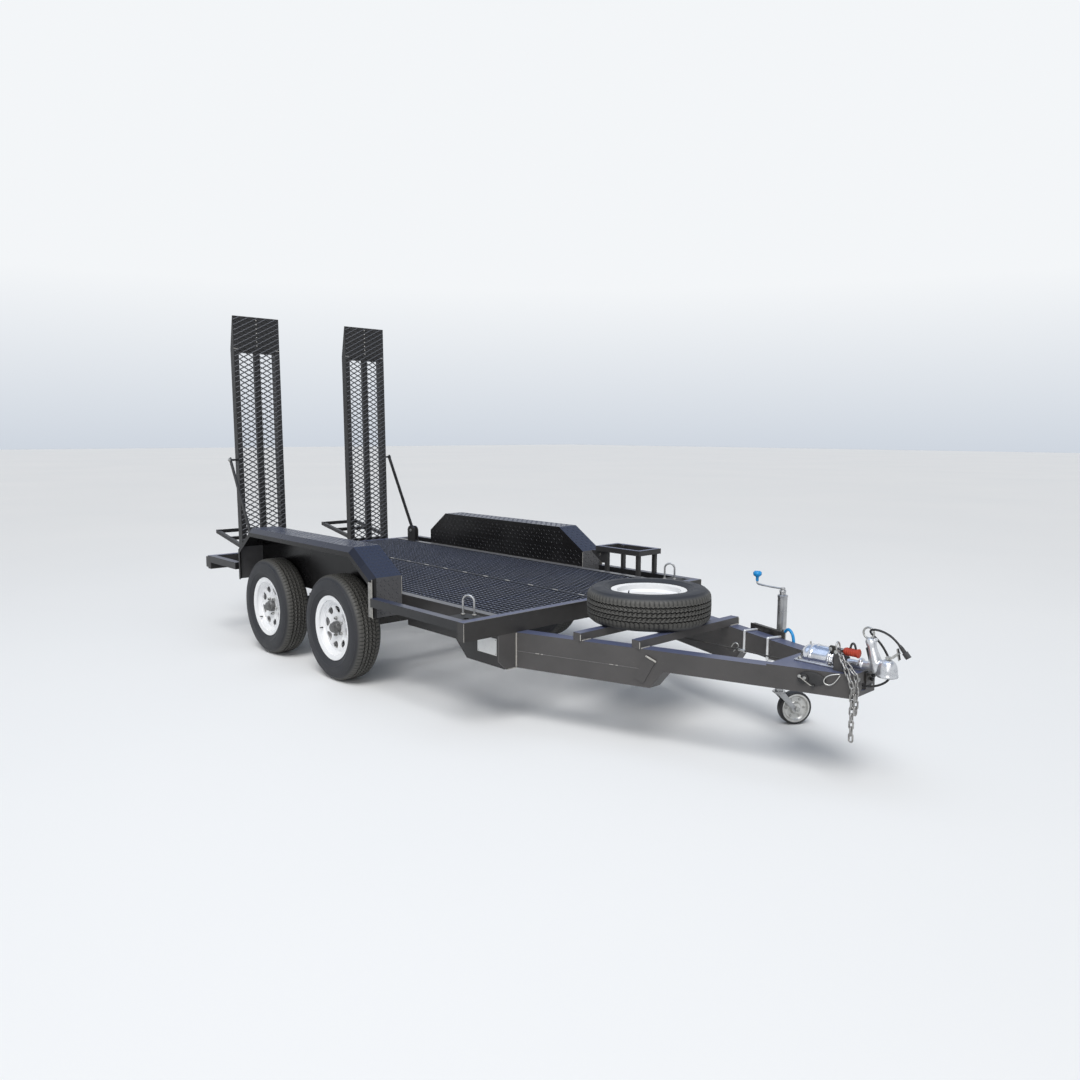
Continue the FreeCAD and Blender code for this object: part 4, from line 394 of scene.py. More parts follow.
bpy.ops.object.light_add(type="SUN", location=(4, -5, 8),
    rotation=Vector((-0.42, 0.5, -1.0)).to_track_quat("-Z", "Y").to_euler())
wide_lamp = bpy.context.object
wide_lamp.name = "wide_lamp"
wide_lamp.data.energy = 1.95
wide_lamp.data.angle = math.radians(32)
wide_lamp.data.color = (1.0, 0.975, 0.94)
for lamp_name, place, aim, size, watts, tint in (
        ("overhead_lamp", (0.5, -1.0, 6.5), (0, 0, 0.4), 6.0, 90, (0.8, 0.88, 1.0)),
        ("near_lamp", (6.5, -7.0, 3.5), (0.3, 0, 0.6), 3.5, 130, (1.0, 0.96, 0.92))):
    bpy.ops.object.light_add(type="AREA", location=place,
        rotation=(Vector(aim) - Vector(place)).to_track_quat("-Z", "Y").to_euler())
    lamp = bpy.context.object
    lamp.name = lamp_name
    lamp.data.size = size
    lamp.data.energy = watts
    lamp.data.color = tint
bpy.context.scene.view_settings.view_transform = "Standard"

# Axles and springs: square axle beams under stacks of four leaves, each clamped by two U-bolts over
# a plate, all brushed with thin black paint that the road has dulled.
running_black = uneven_finish("dull running gear black", (0.022, 0.022, 0.022), (0.045, 0.042, 0.038),
    (0.12, 0.1, 0.08), patch=14.0, grain=380.0, rough=(0.5, 0.75), bump=0.3)
bolt_zinc = uneven_finish("zinc bolt plating", (0.34, 0.34, 0.33), (0.5, 0.5, 0.48), (0.2, 0.17, 0.12),
    patch=40.0, grain=500.0, rough=(0.28, 0.45), metallic=0.9)
dress(running_black, "axles", "leaf_springs", "spring_hangers", "equalisers", "brake_cable")
axle_front = front_face - 1.39
axle_rear = axle_front - 0.9
axle_height = 0.333
spring_out = 0.725
clamp_rod_radius = 0.006


def hex_nut(name, middle, across, height, axis=(0, 0, 1)):
    """A plated six-sided nut with eased edges, measured across its flats."""
    nut = shape(name, bolt_zinc, bpy.ops.mesh.primitive_cylinder_add, vertices=6, radius=across / 1.732,
        depth=height, location=middle, rotation=aimed(axis).to_euler())
    return smooth(ease(nut, height * 0.12))


clamp_pieces = []
for along in (-0.03, 0.03):
    for across in (-0.028, 0.028):
        clamp_pieces.append(rod("clamp_leg", (along, across, -0.045), (along, across, 0.075),
            clamp_rod_radius, bolt_zinc, sides=12))
        clamp_pieces.append(hex_nut("clamp_nut", (along, across, -0.036), 0.019, 0.01))
    clamp_pieces.append(rod("clamp_crown", (along, -0.034, 0.0705), (along, 0.034, 0.0705),
        clamp_rod_radius, bolt_zinc, sides=12, bevel=0.003))
clamp_pieces.append(block("clamp_plate", (0, 0, -0.029), (0.09, 0.08, 0.008), running_black, bevel=0.002))
spring_clamp = join("spring_clamp", clamp_pieces)
for axle_name, axle_x in (("front", axle_front), ("rear", axle_rear)):
    for side, sign in (("near", -1), ("far", 1)):
        clamp = copy_piece(spring_clamp, f"spring_clamp_{axle_name}_{side}",
            Matrix.Translation((axle_x, sign * spring_out, axle_height)))
        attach(clamp, "chassis")
bpy.data.objects.remove(spring_clamp)

# Tyres: light trailer radials. The tread has five ribs between zig-zag grooves, the shoulders are
# notched, and the side walls carry fine raised rings. The rubber is grey with road dust.
tyre_rubber, rubber_tree, rubber_surface = new_finish("dusty tyre rubber")
rubber_group = uneven_node(rubber_tree, 11.0, 420.0)
tread_share = add_node(rubber_tree, "Attribute", attribute_name="tread")
groove_shade_share = add_node(rubber_tree, "Attribute", attribute_name="groove_shade")
rubber_tone = mix(rubber_tree, rubber_group.outputs["Patches"], (0.011, 0.012, 0.015),
    (0.025, 0.026, 0.031))
dust_tone = mix(rubber_tree, rubber_group.outputs["Grain"], (0.044, 0.044, 0.04), (0.135, 0.131, 0.118))
dust_share = add_node(rubber_tree, "Math", {0: tread_share.outputs["Fac"], 1: 0.85}, operation="MULTIPLY")
dusty_tone = mix(rubber_tree, dust_share.outputs[0], rubber_tone, dust_tone)
# The groove bottoms and sipes are painted near black: painted shade in the hollows.
rubber_colour = mix(rubber_tree, groove_shade_share.outputs["Fac"], dusty_tone, (0.006, 0.006, 0.006))
link_surface(rubber_tree, rubber_surface, rubber_group, rubber_colour, rough=(0.5, 0.72), bump=0.25,
    bump_depth=0.0006)

# Half section as (radius, distance from the middle), from the crown to the bead.
tyre_half_section = ((0.333, 0.0), (0.333, 0.008), (0.3215, 0.0095), (0.3215, 0.015), (0.3326, 0.0165),
    (0.3326, 0.0225), (0.3324, 0.0285), (0.3322, 0.0335), (0.321, 0.035), (0.321, 0.0405), (0.3316, 0.042),
    (0.3312, 0.0475), (0.3306, 0.053), (0.3298, 0.0585), (0.3262, 0.067), (0.32, 0.0745), (0.312, 0.081),
    (0.305, 0.0862), (0.3036, 0.088), (0.301, 0.0868), (0.29, 0.09), (0.274, 0.0925), (0.26, 0.093),
    (0.246, 0.092), (0.244, 0.0929), (0.24, 0.0925), (0.2385, 0.0905), (0.228, 0.087), (0.218, 0.083),
    (0.212, 0.079), (0.209, 0.0805), (0.206, 0.079), (0.2055, 0.072), (0.19, 0.0695), (0.179, 0.066))
zigzag_edges = (0.008, 0.0095, 0.015, 0.0165, 0.0335, 0.035, 0.0405, 0.042)
sipe_depth = 0.0075
steps_around = 336


def turned(name, section, steps, finish=None, closed=False):
    """A solid of revolution about the Y axis from points (radius, distance along the axis)."""
    mesh = bpy.data.meshes.new(name)
    edges = [(number, number + 1) for number in range(len(section) - 1)]
    if closed:
        edges.append((len(section) - 1, 0))
    mesh.from_pydata([(radius, along, 0) for radius, along in section], edges, [])
    made = bpy.data.objects.new(name, mesh)
    bpy.context.collection.objects.link(made)
    pick(made)
    bpy.ops.object.mode_set(mode="EDIT")
    bpy.ops.mesh.select_all(action="SELECT")
    bpy.ops.mesh.spin(steps=steps, angle=2 * math.pi, center=(0, 0, 0), axis=(0, 1, 0))
    bpy.ops.mesh.select_all(action="SELECT")
    bpy.ops.mesh.remove_doubles(threshold=0.00002)
    bpy.ops.mesh.normals_make_consistent(inside=False)
    bpy.ops.object.mode_set(mode="OBJECT")
    if finish:
        made.data.materials.append(finish)
    return made


tyre_section = [(radius, -along) for radius, along in reversed(tyre_half_section[1:])]
tyre_section += tyre_half_section
tyre = turned("tyre", tyre_section, steps_around, tyre_rubber)
tread_mark = tyre.data.attributes.new("tread", "FLOAT", "POINT")
groove_shade_mark = tyre.data.attributes.new("groove_shade", "FLOAT", "POINT")
for vertex in tyre.data.vertices:
    x, y, z = vertex.co
    radius, out = math.hypot(x, z), abs(y)
    step = round(math.atan2(z, x) / (2 * math.pi) * steps_around) % steps_around
    on_centre_rib = out < 0.0002 and step % 4 == 0
    on_middle_rib = (min(abs(out - 0.0225), abs(out - 0.0285)) < 0.0005
        and step % 4 == (0 if out < 0.025 else 1))
    on_outer_rib = 0.046 < out < 0.068 and radius > 0.325 and step % 4 == 2
    if any(abs(out - edge) < 0.0003 for edge in zigzag_edges):
        vertex.co.y = y + 0.003 * (0, 1, 0, -1)[step % 4]
    if on_centre_rib or on_middle_rib or on_outer_rib:
        depth = sipe_depth * (0.45 if on_outer_rib else 1)
        vertex.co.x *= 1 - depth / radius
        vertex.co.z *= 1 - depth / radius
        groove_shade_mark.data[vertex.index].value = 0.8 if on_outer_rib else 1.0
    # Groove bottoms and sipes are marked for painted shade.
    if radius < 0.323 and out < 0.045:
        groove_shade_mark.data[vertex.index].value = 1.0
    tread_mark.data[vertex.index].value = min(1.0, max(0.0, (radius - 0.312) / 0.014))
smooth(tyre, 28)

# Rims: pressed steel wheels in gloss white, with eight rounded openings, plated nuts round a dull
# dust cap, and a black rubber valve. The brake drum and its back plate fill the barrel behind.
gloss_white = uneven_finish("gloss white wheel paint", (0.82, 0.83, 0.85), (0.88, 0.89, 0.9),
    (0.5, 0.49, 0.47), patch=7.0, grain=90.0, rough=(0.18, 0.3), bump=0.05, scuff_share=0.12,
    coat_weight=0.4)
cap_grey = uneven_finish("dull grey hub metal", (0.1, 0.1, 0.1), (0.2, 0.2, 0.2), (0.34, 0.33, 0.31),
    patch=30.0, grain=400.0, rough=(0.35, 0.55), bump=0.25, metallic=0.6)
hub_pieces = [smooth(turned("hub_cap",
    ((0.0002, 0.082), (0.012, 0.0815), (0.0235, 0.079), (0.029, 0.074), (0.03, 0.062), (0.035, 0.06),
    (0.0375, 0.055), (0.0385, 0.03), (0.037, 0.026)), 40, cap_grey))]
nut_circle = 0.056
for number in range(5):
    angle = 2 * math.pi * number / 5 + 0.3
    spot = Vector((nut_circle * math.cos(angle), 0.036, nut_circle * math.sin(angle)))
    hub_pieces.append(hex_nut(f"wheel_nut_{number}", spot, 0.019, 0.014, (0, 1, 0)))
    hub_pieces.append(rod(f"wheel_stud_{number}", spot, spot + Vector((0, 0.0125, 0)), 0.0055, cap_grey,
        sides=12, bevel=0.001))
hub_pieces.append(rod("valve", (0.16, 0.05, 0.012), (0.153, 0.072, 0.012), 0.0045, black_rubber, sides=12,
    tip=0.0032, bevel=0.0006))
rim_barrel = [(0.204, 0.076), (0.2045, 0.0735), (0.2035, 0.0702), (0.1778, 0.07), (0.1778, 0.053),
    (0.159, 0.042), (0.158, -0.03), (0.1778, -0.045), (0.1778, -0.07), (0.2035, -0.0702), (0.2045, -0.0735),
    (0.204, -0.076), (0.199, -0.0745), (0.19, -0.0735), (0.173, -0.0715), (0.1725, -0.047), (0.153, -0.033),
    (0.153, 0.028)]
rim_disc = [(0.144, 0.0325), (0.129, 0.035), (0.098, 0.027), (0.082, 0.0215), (0.034, 0.0215),
    (0.034, 0.0285), (0.081, 0.029), (0.096, 0.0345), (0.128, 0.0425), (0.145, 0.0395)]
rim_lip = [(0.153, 0.037), (0.157, 0.045), (0.1725, 0.056), (0.173, 0.07), (0.18, 0.0722), (0.19, 0.0735),
    (0.199, 0.0762)]
rim = turned("rim_pattern", rim_barrel + rim_disc + rim_lip, 96, closed=True)
opening_reach, opening_width, opening_rise = 0.116, 0.03, 0.0215
openings = []
for number in range(8):
    opening = shape("rim_opening", None, bpy.ops.mesh.primitive_cylinder_add, vertices=20, radius=1,
        depth=0.08, location=(0, 0.035, 0), rotation=(math.pi / 2, 0, 0),
        scale=(opening_width, opening_rise, 1))
    for vertex in opening.data.vertices:
        vertex.co.x *= 1 + 0.25 * vertex.co.z / opening_rise
    opening.data.transform(Matrix.Rotation(2 * math.pi * (number + 0.5) / 8, 4, "Y")
        @ Matrix.Translation((0, 0, opening_reach)))
    openings.append(opening)
opening_ring = join("rim_openings", openings)
apply_modifier(rim, "BOOLEAN", operation="DIFFERENCE", object=opening_ring, solver="EXACT")
bpy.data.objects.remove(opening_ring)
paint(rim, gloss_white)
smooth(rim, 32)
drum = smooth(turned("brake_drum",
    ((0.036, 0.021), (0.08, 0.0205), (0.085, 0.012), (0.106, 0.011), (0.11, 0.007), (0.11, -0.056),
    (0.15, -0.057), (0.15, -0.061), (0.044, -0.064), (0.043, -0.07), (0.036, -0.07)), 64, running_black,
    closed=True), 40)
spare_rim = copy_piece(rim, "spare_rim_white", Matrix.Identity(4))
hub = join("hub_dressing", [rim, drum] + hub_pieces)
outwards = {"near": Matrix.Rotation(math.pi, 4, "Z"), "far": Matrix.Identity(4)}
wheel_out = 0.862
for axle_name, axle_x, twist in (("front", axle_front, 14), ("rear", axle_rear, 41)):
    for side, sign in (("near", -1), ("far", 1)):
        place = (Matrix.Translation((axle_x, sign * wheel_out, axle_height)) @ outwards[side]
            @ turn_by(twist, "Y"))
        for pattern, name, node in ((tyre, "treaded_tyre", "tyre"), (hub, "white_rim", "rim")):
            piece = copy_piece(pattern, f"{name}_{axle_name}_{side}", place)
            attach(piece, f"wheel_{axle_name}_{side}")
            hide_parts(f"{node}_{axle_name}_{side}")

# The spare lies on its outer side over the drawbar, so its open white bowl faces up. A threaded rod
# with a pressed plate and a wing nut holds it down on the carrier bars.
spare_middle = Vector((front_face + 0.391, -0.02, 0.633))
upright = turn_by(90, "X")
spare_tyre = copy_piece(tyre, "spare_treaded_tyre", Matrix.Translation(spare_middle) @ upright)
moved(spare_rim, spare_middle, turn_by(-90, "X"))
for piece, node in ((spare_tyre, "spare_tyre"), (spare_rim, "spare_rim")):
    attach(piece, "chassis")
    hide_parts(node)
spare_bits = [rod("spare_clamp_disc", spare_middle + Vector((0, 0, -0.022)),
    spare_middle + Vector((0, 0, -0.014)), 0.055, bolt_zinc, sides=40, bevel=0.002),
    rod("spare_clamp_rod", spare_middle + Vector((0, 0, -0.093)), spare_middle + Vector((0, 0, 0.022)),
    0.007, bolt_zinc, sides=16, bevel=0.001),
    hex_nut("spare_clamp_nut", spare_middle + Vector((0, 0, -0.007)), 0.024, 0.014)]
for sign in (1, -1):
    spare_bits.append(block("clamp_wing", spare_middle + Vector((sign * 0.019, 0, 0.006)),
        (0.022, 0.005, 0.018), bolt_zinc, turn=(0, sign * -0.6, 0), bevel=0.002))
spare_bits.append(rod("spare_valve", spare_middle + Vector((-0.155, 0.01, 0.02)),
    spare_middle + Vector((-0.15, 0.01, 0.048)), 0.0045, black_rubber, sides=12, tip=0.003, bevel=0.0006))
spare_clamp = join("spare_clamp", spare_bits)
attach(spare_clamp, "chassis")
for pattern in (tyre, hub):
    bpy.data.objects.remove(pattern)

# The frame: folded and rolled steel beams, welded up and sprayed satin black. The paint has
# settled unevenly, and handling has left pale scuffs.
frame_sheen = {"patch": 3.0, "grain": 260.0, "rough": (0.36, 0.5), "bump": 0.12, "scuff_share": 0.3,
    "specular_ior_level": 0.32}
# The navy tint on faces that look up is a painted sky reflection.
satin_black = uneven_finish("satin black frame paint", (0.026, 0.0255, 0.026), (0.042, 0.0405, 0.041),
    (0.12, 0.12, 0.13), painted_sheen=(0.075, 0.088, 0.155), **frame_sheen)
dress(satin_black, "chassis_rails", "rear_beam", "deck_cross_members", "bucket_rest", "stay_brackets",
    "ramp_hinges")
# The side rails are painted darker than the frame as shade and a grey sheen on their top is a painted
# highlight; their pale scuffs are wear.
worn_shaded_side_rail_black = uneven_finish("worn side rail paint with painted shade", (0.02, 0.019, 0.019), (0.036, 0.034, 0.034),
    (0.2, 0.19, 0.18), patch=4.0, grain=260.0, rough=(0.34, 0.5), bump=0.12, scuff_share=0.6,
    painted_sheen=(0.135, 0.138, 0.15), specular_ior_level=0.3)
dress(worn_shaded_side_rail_black, "deck_side_rails")
shaded_black = uneven_finish("shaded corner paint", (0.01, 0.01, 0.011), (0.018, 0.018, 0.019),
    (0.08, 0.08, 0.08), patch=5.0, grain=260.0, rough=(0.45, 0.6), bump=0.1, specular_ior_level=0.2)
dress(shaded_black, "corner_plates")
# The drawbar is painted paler than the rest of the frame as light, with the same painted sky reflection on
# its top faces.
lit_drawbar_black = uneven_finish("satin black drawbar paint with painted light", (0.064, 0.0615, 0.061), (0.088, 0.084, 0.083),
    (0.19, 0.19, 0.19), painted_sheen=(0.085, 0.098, 0.165), **frame_sheen)
dress(lit_drawbar_black, "drawbar_rails", "drawbar_lower_rails", "drawbar_end_plates", "rail_straps",
    "nose_plates", "spare_carrier")
# The front beam is painted a little paler than the frame as light, with a painted sky reflection on top.
lit_beam_black = uneven_finish("front beam paint with painted light", (0.032, 0.0305, 0.03), (0.05, 0.048, 0.047),
    (0.15, 0.15, 0.15), painted_sheen=(0.085, 0.098, 0.165), **frame_sheen)
dress(lit_beam_black, "front_beam")
# A pale colour for thin lines along edges: painted highlights.
edge_highlight_paint = uneven_finish("painted edge highlight", (0.11, 0.108, 0.105), (0.22, 0.215, 0.21),
    (0.4, 0.39, 0.37), patch=50.0, grain=500.0, rough=(0.35, 0.5), bump=0.2)
# The rope rails are painted darker than the frame as shade, with a painted sky reflection on top.
shaded_rope_black = uneven_finish("black rope rail paint with painted shade", (0.01, 0.01, 0.011), (0.018, 0.018, 0.02),
    (0.1, 0.1, 0.11), patch=3.5, grain=280.0, rough=(0.3, 0.42), bump=0.1, scuff_share=0.25,
    painted_sheen=(0.035, 0.042, 0.075), specular_ior_level=0.4)
dress(shaded_rope_black, "rope_rails")

# Welds: beads of overlapping ripples that show pale through the thin paint.
pale_weld = uneven_finish("pale weld metal", (0.3, 0.29, 0.27), (0.52, 0.5, 0.46), (0.1, 0.09, 0.08),
    patch=60.0, grain=700.0, rough=(0.35, 0.6), bump=0.3, metallic=0.55)


def bead(name, start, end, radius, pitch=0.0045):
    """A weld bead between two points, one ripple per pitch."""
    start, end = Vector(start), Vector(end)
    run = end - start
    made = shape(name, pale_weld, bpy.ops.mesh.primitive_ico_sphere_add, subdivisions=2, radius=1,
        scale=(radius, radius, pitch * 0.9))
    repeat(made, max(2, int(run.length / pitch)), (0, 0, pitch))
    moved(made, start, aimed(run).to_matrix().to_4x4())
    made.data.shade_smooth()
    return made


rail_lean = 18.16
slope = math.tan(math.radians(rail_lean))
rail_root = 0.627


def rail_face(ahead):
    """Outer face of a drawbar rail from the centre line, so far ahead of the front beam."""
    return rail_root - ahead * slope


def from_face(ahead, across, height):
    """A place so far ahead of the front beam's face."""
    return (front_face + ahead, across, height)


def on_rail(ahead, out, height):
    """A place so far out from the near drawbar rail's face."""
    return from_face(ahead, -rail_face(ahead) - out, height)


near_beads_and_highlights = [bead("joint_bead", from_face(0.003, -0.629, 0.318), from_face(0.003, -0.629, 0.498), 0.0048),
    bead("strap_head_bead", on_rail(0.749, 0.008, 0.447), on_rail(0.697, 0.008, 0.471), 0.0055),
    bead("end_cap_bead", from_face(0.0005, -0.9755, 0.503), from_face(0.0005, -0.9755, 0.598),
        0.0016, 0.003),
    bead("plate_foot_bead", from_face(0.004, -0.634, 0.312), from_face(0.004, -0.692, 0.312), 0.003)]
# These thin pale rods along the rail seam, the front beam's top edge and the guard's foot are painted
# highlights.
for name, start, end, radius in (
        ("rail_seam", on_rail(0.004, 0.0004, 0.4), on_rail(0.69, 0.0004, 0.4), 0.0012),
        ("front_edge", from_face(0.0003, -0.973, 0.5995), from_face(0.0003, 0, 0.5995), 0.0014),
        ("guard_foot_edge", from_face(-2.695, -0.7575, 0.6015), from_face(-0.872, -0.7575, 0.6015),
        0.0018)):
    near_beads_and_highlights.append(rod(name, start, end, radius, edge_highlight_paint, sides=10))
for number, (first, last) in enumerate(((0.115, 0.135), (0.145, 0.151), (0.515, 0.536), (0.548, 0.553))):
    near_beads_and_highlights.append(bead(f"seam_bead_{number}", on_rail(first, 0.0008, 0.4005),
        on_rail(last, 0.0008, 0.4005), 0.0024, 0.005))
for number, ahead in enumerate((0.365, 0.67)):
    bar_end = rail_face(ahead - 0.025) + 0.002
    near_beads_and_highlights.append(bead(f"bar_bead_{number}", from_face(ahead + 0.001, -bar_end, 0.503),
        from_face(ahead + 0.001, -bar_end, 0.538), 0.0028))
    near_beads_and_highlights.append(bead(f"bar_foot_bead_{number}",
        from_face(ahead + 0.002, -rail_face(ahead) + 0.004, 0.5015),
        from_face(ahead + 0.002, -rail_face(ahead) + 0.07, 0.5015), 0.0035))
near_welds_and_highlights = join("welds_and_highlights_near", near_beads_and_highlights)
mirrored = Matrix.Scale(-1, 4, (0, 1, 0))
far_welds_and_highlights = copy_piece(near_welds_and_highlights, "welds_and_highlights_far", mirrored)
for piece in (near_welds_and_highlights, far_welds_and_highlights):
    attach(piece, "chassis")

# Deck: open raised mesh in two sheets on cross members. The strands are twisted by the press, so
# each one tilts and catches the light. Two flat strips run along the middle with welds between them.
# The strands' blue cast is a painted sky reflection, and the pale tint on faces that look up and forward is
# a painted highlight.
deck_paint = uneven_finish("deck mesh paint", (0.012, 0.014, 0.022), (0.022, 0.026, 0.04),
    (0.13, 0.15, 0.2), patch=2.2, grain=320.0, rough=(0.3, 0.42), scuff_share=0.4, painted_sheen=(0.24, 0.27, 0.38),
    painted_sheen_side=(0.5, 0, 0.866), painted_sheen_from=0.93, specular_ior_level=0.4)


def raised_mesh(name, low, high, level, finish, strand, tilt, long_way=0.076, short_way=0.04, gauge=0.003):
    """Raised mesh between two corners in plan, the long way of its diamonds along Y."""
    rows = math.ceil((high[0] - low[0]) / short_way) + 2
    columns = math.ceil((high[1] - low[1]) / long_way) + 2
    made = shape(name, finish, bpy.ops.mesh.primitive_circle_add, vertices=4, radius=1, fill_type="NGON")
    moved(made, (low[0] - short_way / 2, low[1] - long_way / 2, 0),
        Matrix.Diagonal((short_way / 2, long_way / 2, 1, 1)))
    bpy.ops.object.mode_set(mode="EDIT")
    bpy.ops.mesh.select_mode(type="FACE")
    bpy.ops.mesh.select_all(action="SELECT")
    bpy.ops.mesh.duplicate()
    bpy.ops.transform.translate(value=(short_way / 2, long_way / 2, 0))
    bpy.ops.mesh.select_all(action="SELECT")
    bpy.ops.mesh.inset(thickness=strand / 2, use_individual=True)
    bpy.ops.mesh.delete(type="ONLY_FACE")
    bpy.ops.object.mode_set(mode="OBJECT")
    for middle_x, middle_y in ((low[0] - short_way / 2, low[1] - long_way / 2), (low[0], low[1])):
        for vertex in made.data.vertices:
            off_x, off_y = vertex.co.x - middle_x, vertex.co.y - middle_y
            if abs(off_y) < 0.001 and 0.004 < abs(off_x) < short_way / 2 - 0.001:
                vertex.co.z = tilt if off_x < 0 else -tilt
    repeat(made, rows, (short_way, 0, 0))
    repeat(made, columns, (0, long_way, 0))
    bpy.ops.object.mode_set(mode="EDIT")
    bpy.ops.mesh.select_all(action="SELECT")
    bpy.ops.mesh.remove_doubles(threshold=0.0001)
    for edge_point, direction in (((low[0], 0, 0), (-1, 0, 0)), ((high[0], 0, 0), (1, 0, 0)),
            ((0, low[1], 0), (0, -1, 0)), ((0, high[1], 0), (0, 1, 0))):
        bpy.ops.mesh.select_all(action="SELECT")
        bpy.ops.mesh.bisect(plane_co=edge_point, plane_no=direction, clear_outer=True)
    bpy.ops.object.mode_set(mode="OBJECT")
    apply_modifier(made, "SOLIDIFY", thickness=gauge, offset=0)
    return moved(made, (0, 0, level))


for side in ("near", "far"):
    low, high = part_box(f"deck_sheet_{side}")
    sheet = raised_mesh(f"deck_mesh_{side}", (low[0], low[1]), (high[0], high[1]), 0.5965, deck_paint,
        strand=0.0095, tilt=0.0052)
    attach(sheet, "chassis")
    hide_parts(f"deck_sheet_{side}")
low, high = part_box("deck_sheet_far")
seam_strips = []
for side, middle in (("near", -0.0105), ("far", 0.0105)):
    seam_strips.append(block(f"seam_strip_{side}", ((low[0] + high[0]) / 2, middle, 0.599),
        (high[0] - low[0], 0.009, 0.006), deck_paint, bevel=0.001))
stitch_pitch, stitch_start, stitch_length = 0.222, 0.11, 0.045
for number in range(14):
    spot = low[0] + stitch_pitch * number + stitch_start
    seam_strips.append(bead(f"seam_stitch_{number}", (spot, 0, 0.601),
        (spot + stitch_length, 0, 0.601), 0.0035, 0.006))
seam = join("deck_seam", seam_strips)
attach(seam, "chassis")

# Tie hoops: bright rod staples, each foot welded to its corner plate by a ring of metal.
hoop_plating = uneven_finish("bare hoop steel", (0.3, 0.31, 0.32), (0.46, 0.46, 0.46), (0.16, 0.14, 0.12),
    patch=22.0, grain=420.0, rough=(0.3, 0.48), bump=0.2, metallic=0.75)
dress(hoop_plating, "tie_hoops")
hoop_turn = math.radians(25.4)
hoop_welds = []
for sign in (-1, 1):
    for leg in (-0.0325, 0.0325):
        foot = Vector((front_face - 0.145 + leg * math.cos(hoop_turn),
            sign * 0.83 + leg * math.sin(hoop_turn), 0.6))
        hoop_welds.append(shape("hoop_weld", pale_weld, bpy.ops.mesh.primitive_torus_add,
            location=foot + Vector((0, 0, 0.002)), major_radius=0.0075, minor_radius=0.0042,
            major_segments=20, minor_segments=8))
        bpy.ops.object.shade_smooth()
hoop_feet = join("hoop_feet", hoop_welds)
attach(hoop_feet, "chassis")

# Mudguards: folded checker plate over each pair of wheels, sprayed gloss black. The raised bars of
# the plate are rolled in, lean left and right by turns and stand 1.7 mm proud.
# Painted light: the navy tint on faces that look up is a painted sky reflection, and the pale grey on faces
# that look along the drawbar is painted lamp light.
guard_black = uneven_finish("gloss black guard paint", (0.008, 0.0075, 0.0078), (0.017, 0.0165, 0.017),
    (0.15, 0.16, 0.2), patch=2.4, grain=240.0, rough=(0.2, 0.34), bump=0.1, scuff_share=0.35,
    painted_sheen=(0.04, 0.05, 0.088), painted_sheen_from=0.45, front=(0.105, 0.105, 0.11), specular_ior_level=0.22)
dress(guard_black, "mudguard_near", "mudguard_far")
guard_inner, guard_fold = 0.76, 0.933
guard_front, guard_rear = front_face - 0.868, front_face - 2.7
guard_top_front, guard_top_rear = front_face - 1.111, front_face - 2.485
guard_bend, guard_top, guard_bottom = 0.713, 0.868, 0.48
bar_pitch, bar_margin = 0.027, 0.006
checker_bar = shape("checker_bar", guard_black, bpy.ops.mesh.primitive_uv_sphere_add, segments=8,
    ring_count=4, radius=1, scale=(0.0115, 0.0031, 0.0017))


def checker_field(name, corner, along, across):
    """Raised bars over a flat rectangle, from its corner to the ends of its two edges."""
    corner, along, across = Vector(corner), Vector(along), Vector(across)
    cell = []
    for column, row in ((0, 0), (1, 0), (0, 1), (1, 1)):
        lean = turn_by(45 if column == row else -45, "Z")
        cell.append(copy_piece(checker_bar, "bar",
            Matrix.Translation((column * bar_pitch, row * bar_pitch, 0)) @ lean))
    field = join(name, cell)
    columns, rows = (int((edge.length - bar_margin) / bar_pitch / 2) for edge in (along, across))
    repeat(field, columns, (2 * bar_pitch, 0, 0))
    repeat(field, rows, (0, 2 * bar_pitch, 0))
    margin_along = (along.length - (2 * columns - 1) * bar_pitch) / 2
    margin_across = (across.length - (2 * rows - 1) * bar_pitch) / 2
    facing = along.normalized().cross(across.normalized())
    turn = Matrix((along.normalized(), across.normalized(), facing)).transposed().to_4x4()
    return moved(field, corner, turn @ Matrix.Translation((margin_along, margin_across, 0)))


guard_length, guard_across = guard_top_front - guard_top_rear, (0, guard_fold - guard_inner, 0)
end_width, wall_height = 0.203, 0.118
far_fields = [checker_field(*field)
    for field in (
    ("top_bars", (guard_top_rear, guard_inner, guard_top), (guard_length, 0, 0), guard_across),
    ("front_slant_bars", (guard_top_front, guard_inner, guard_top),
    (guard_front - guard_top_front, 0, guard_bend - guard_top), guard_across),
    ("rear_slant_bars", (guard_rear, guard_inner, guard_bend),
    (guard_top_rear - guard_rear, 0, guard_top - guard_bend), guard_across),
    ("front_end_bars", (guard_front, guard_inner, guard_bottom), (0, end_width, 0),
    (0, 0, guard_bend - guard_bottom)),
    ("rear_end_bars", (guard_rear, guard_inner + end_width, guard_bottom), (0, -end_width, 0),
    (0, 0, guard_bend - guard_bottom)),
    ("inner_wall_bars", (guard_rear + 0.02, guard_inner, 0.606), (guard_front - guard_rear - 0.04, 0, 0),
    (0, 0, wall_height)),
    ("inner_top_bars", (guard_top_rear - 0.07, guard_inner, 0.728), (guard_length + 0.14, 0, 0),
    (0, 0, wall_height)))]
bars_far = join("guard_bars_far", far_fields)
bars_near = copy_piece(bars_far, "guard_bars_near", mirrored)
bpy.data.objects.remove(checker_bar)
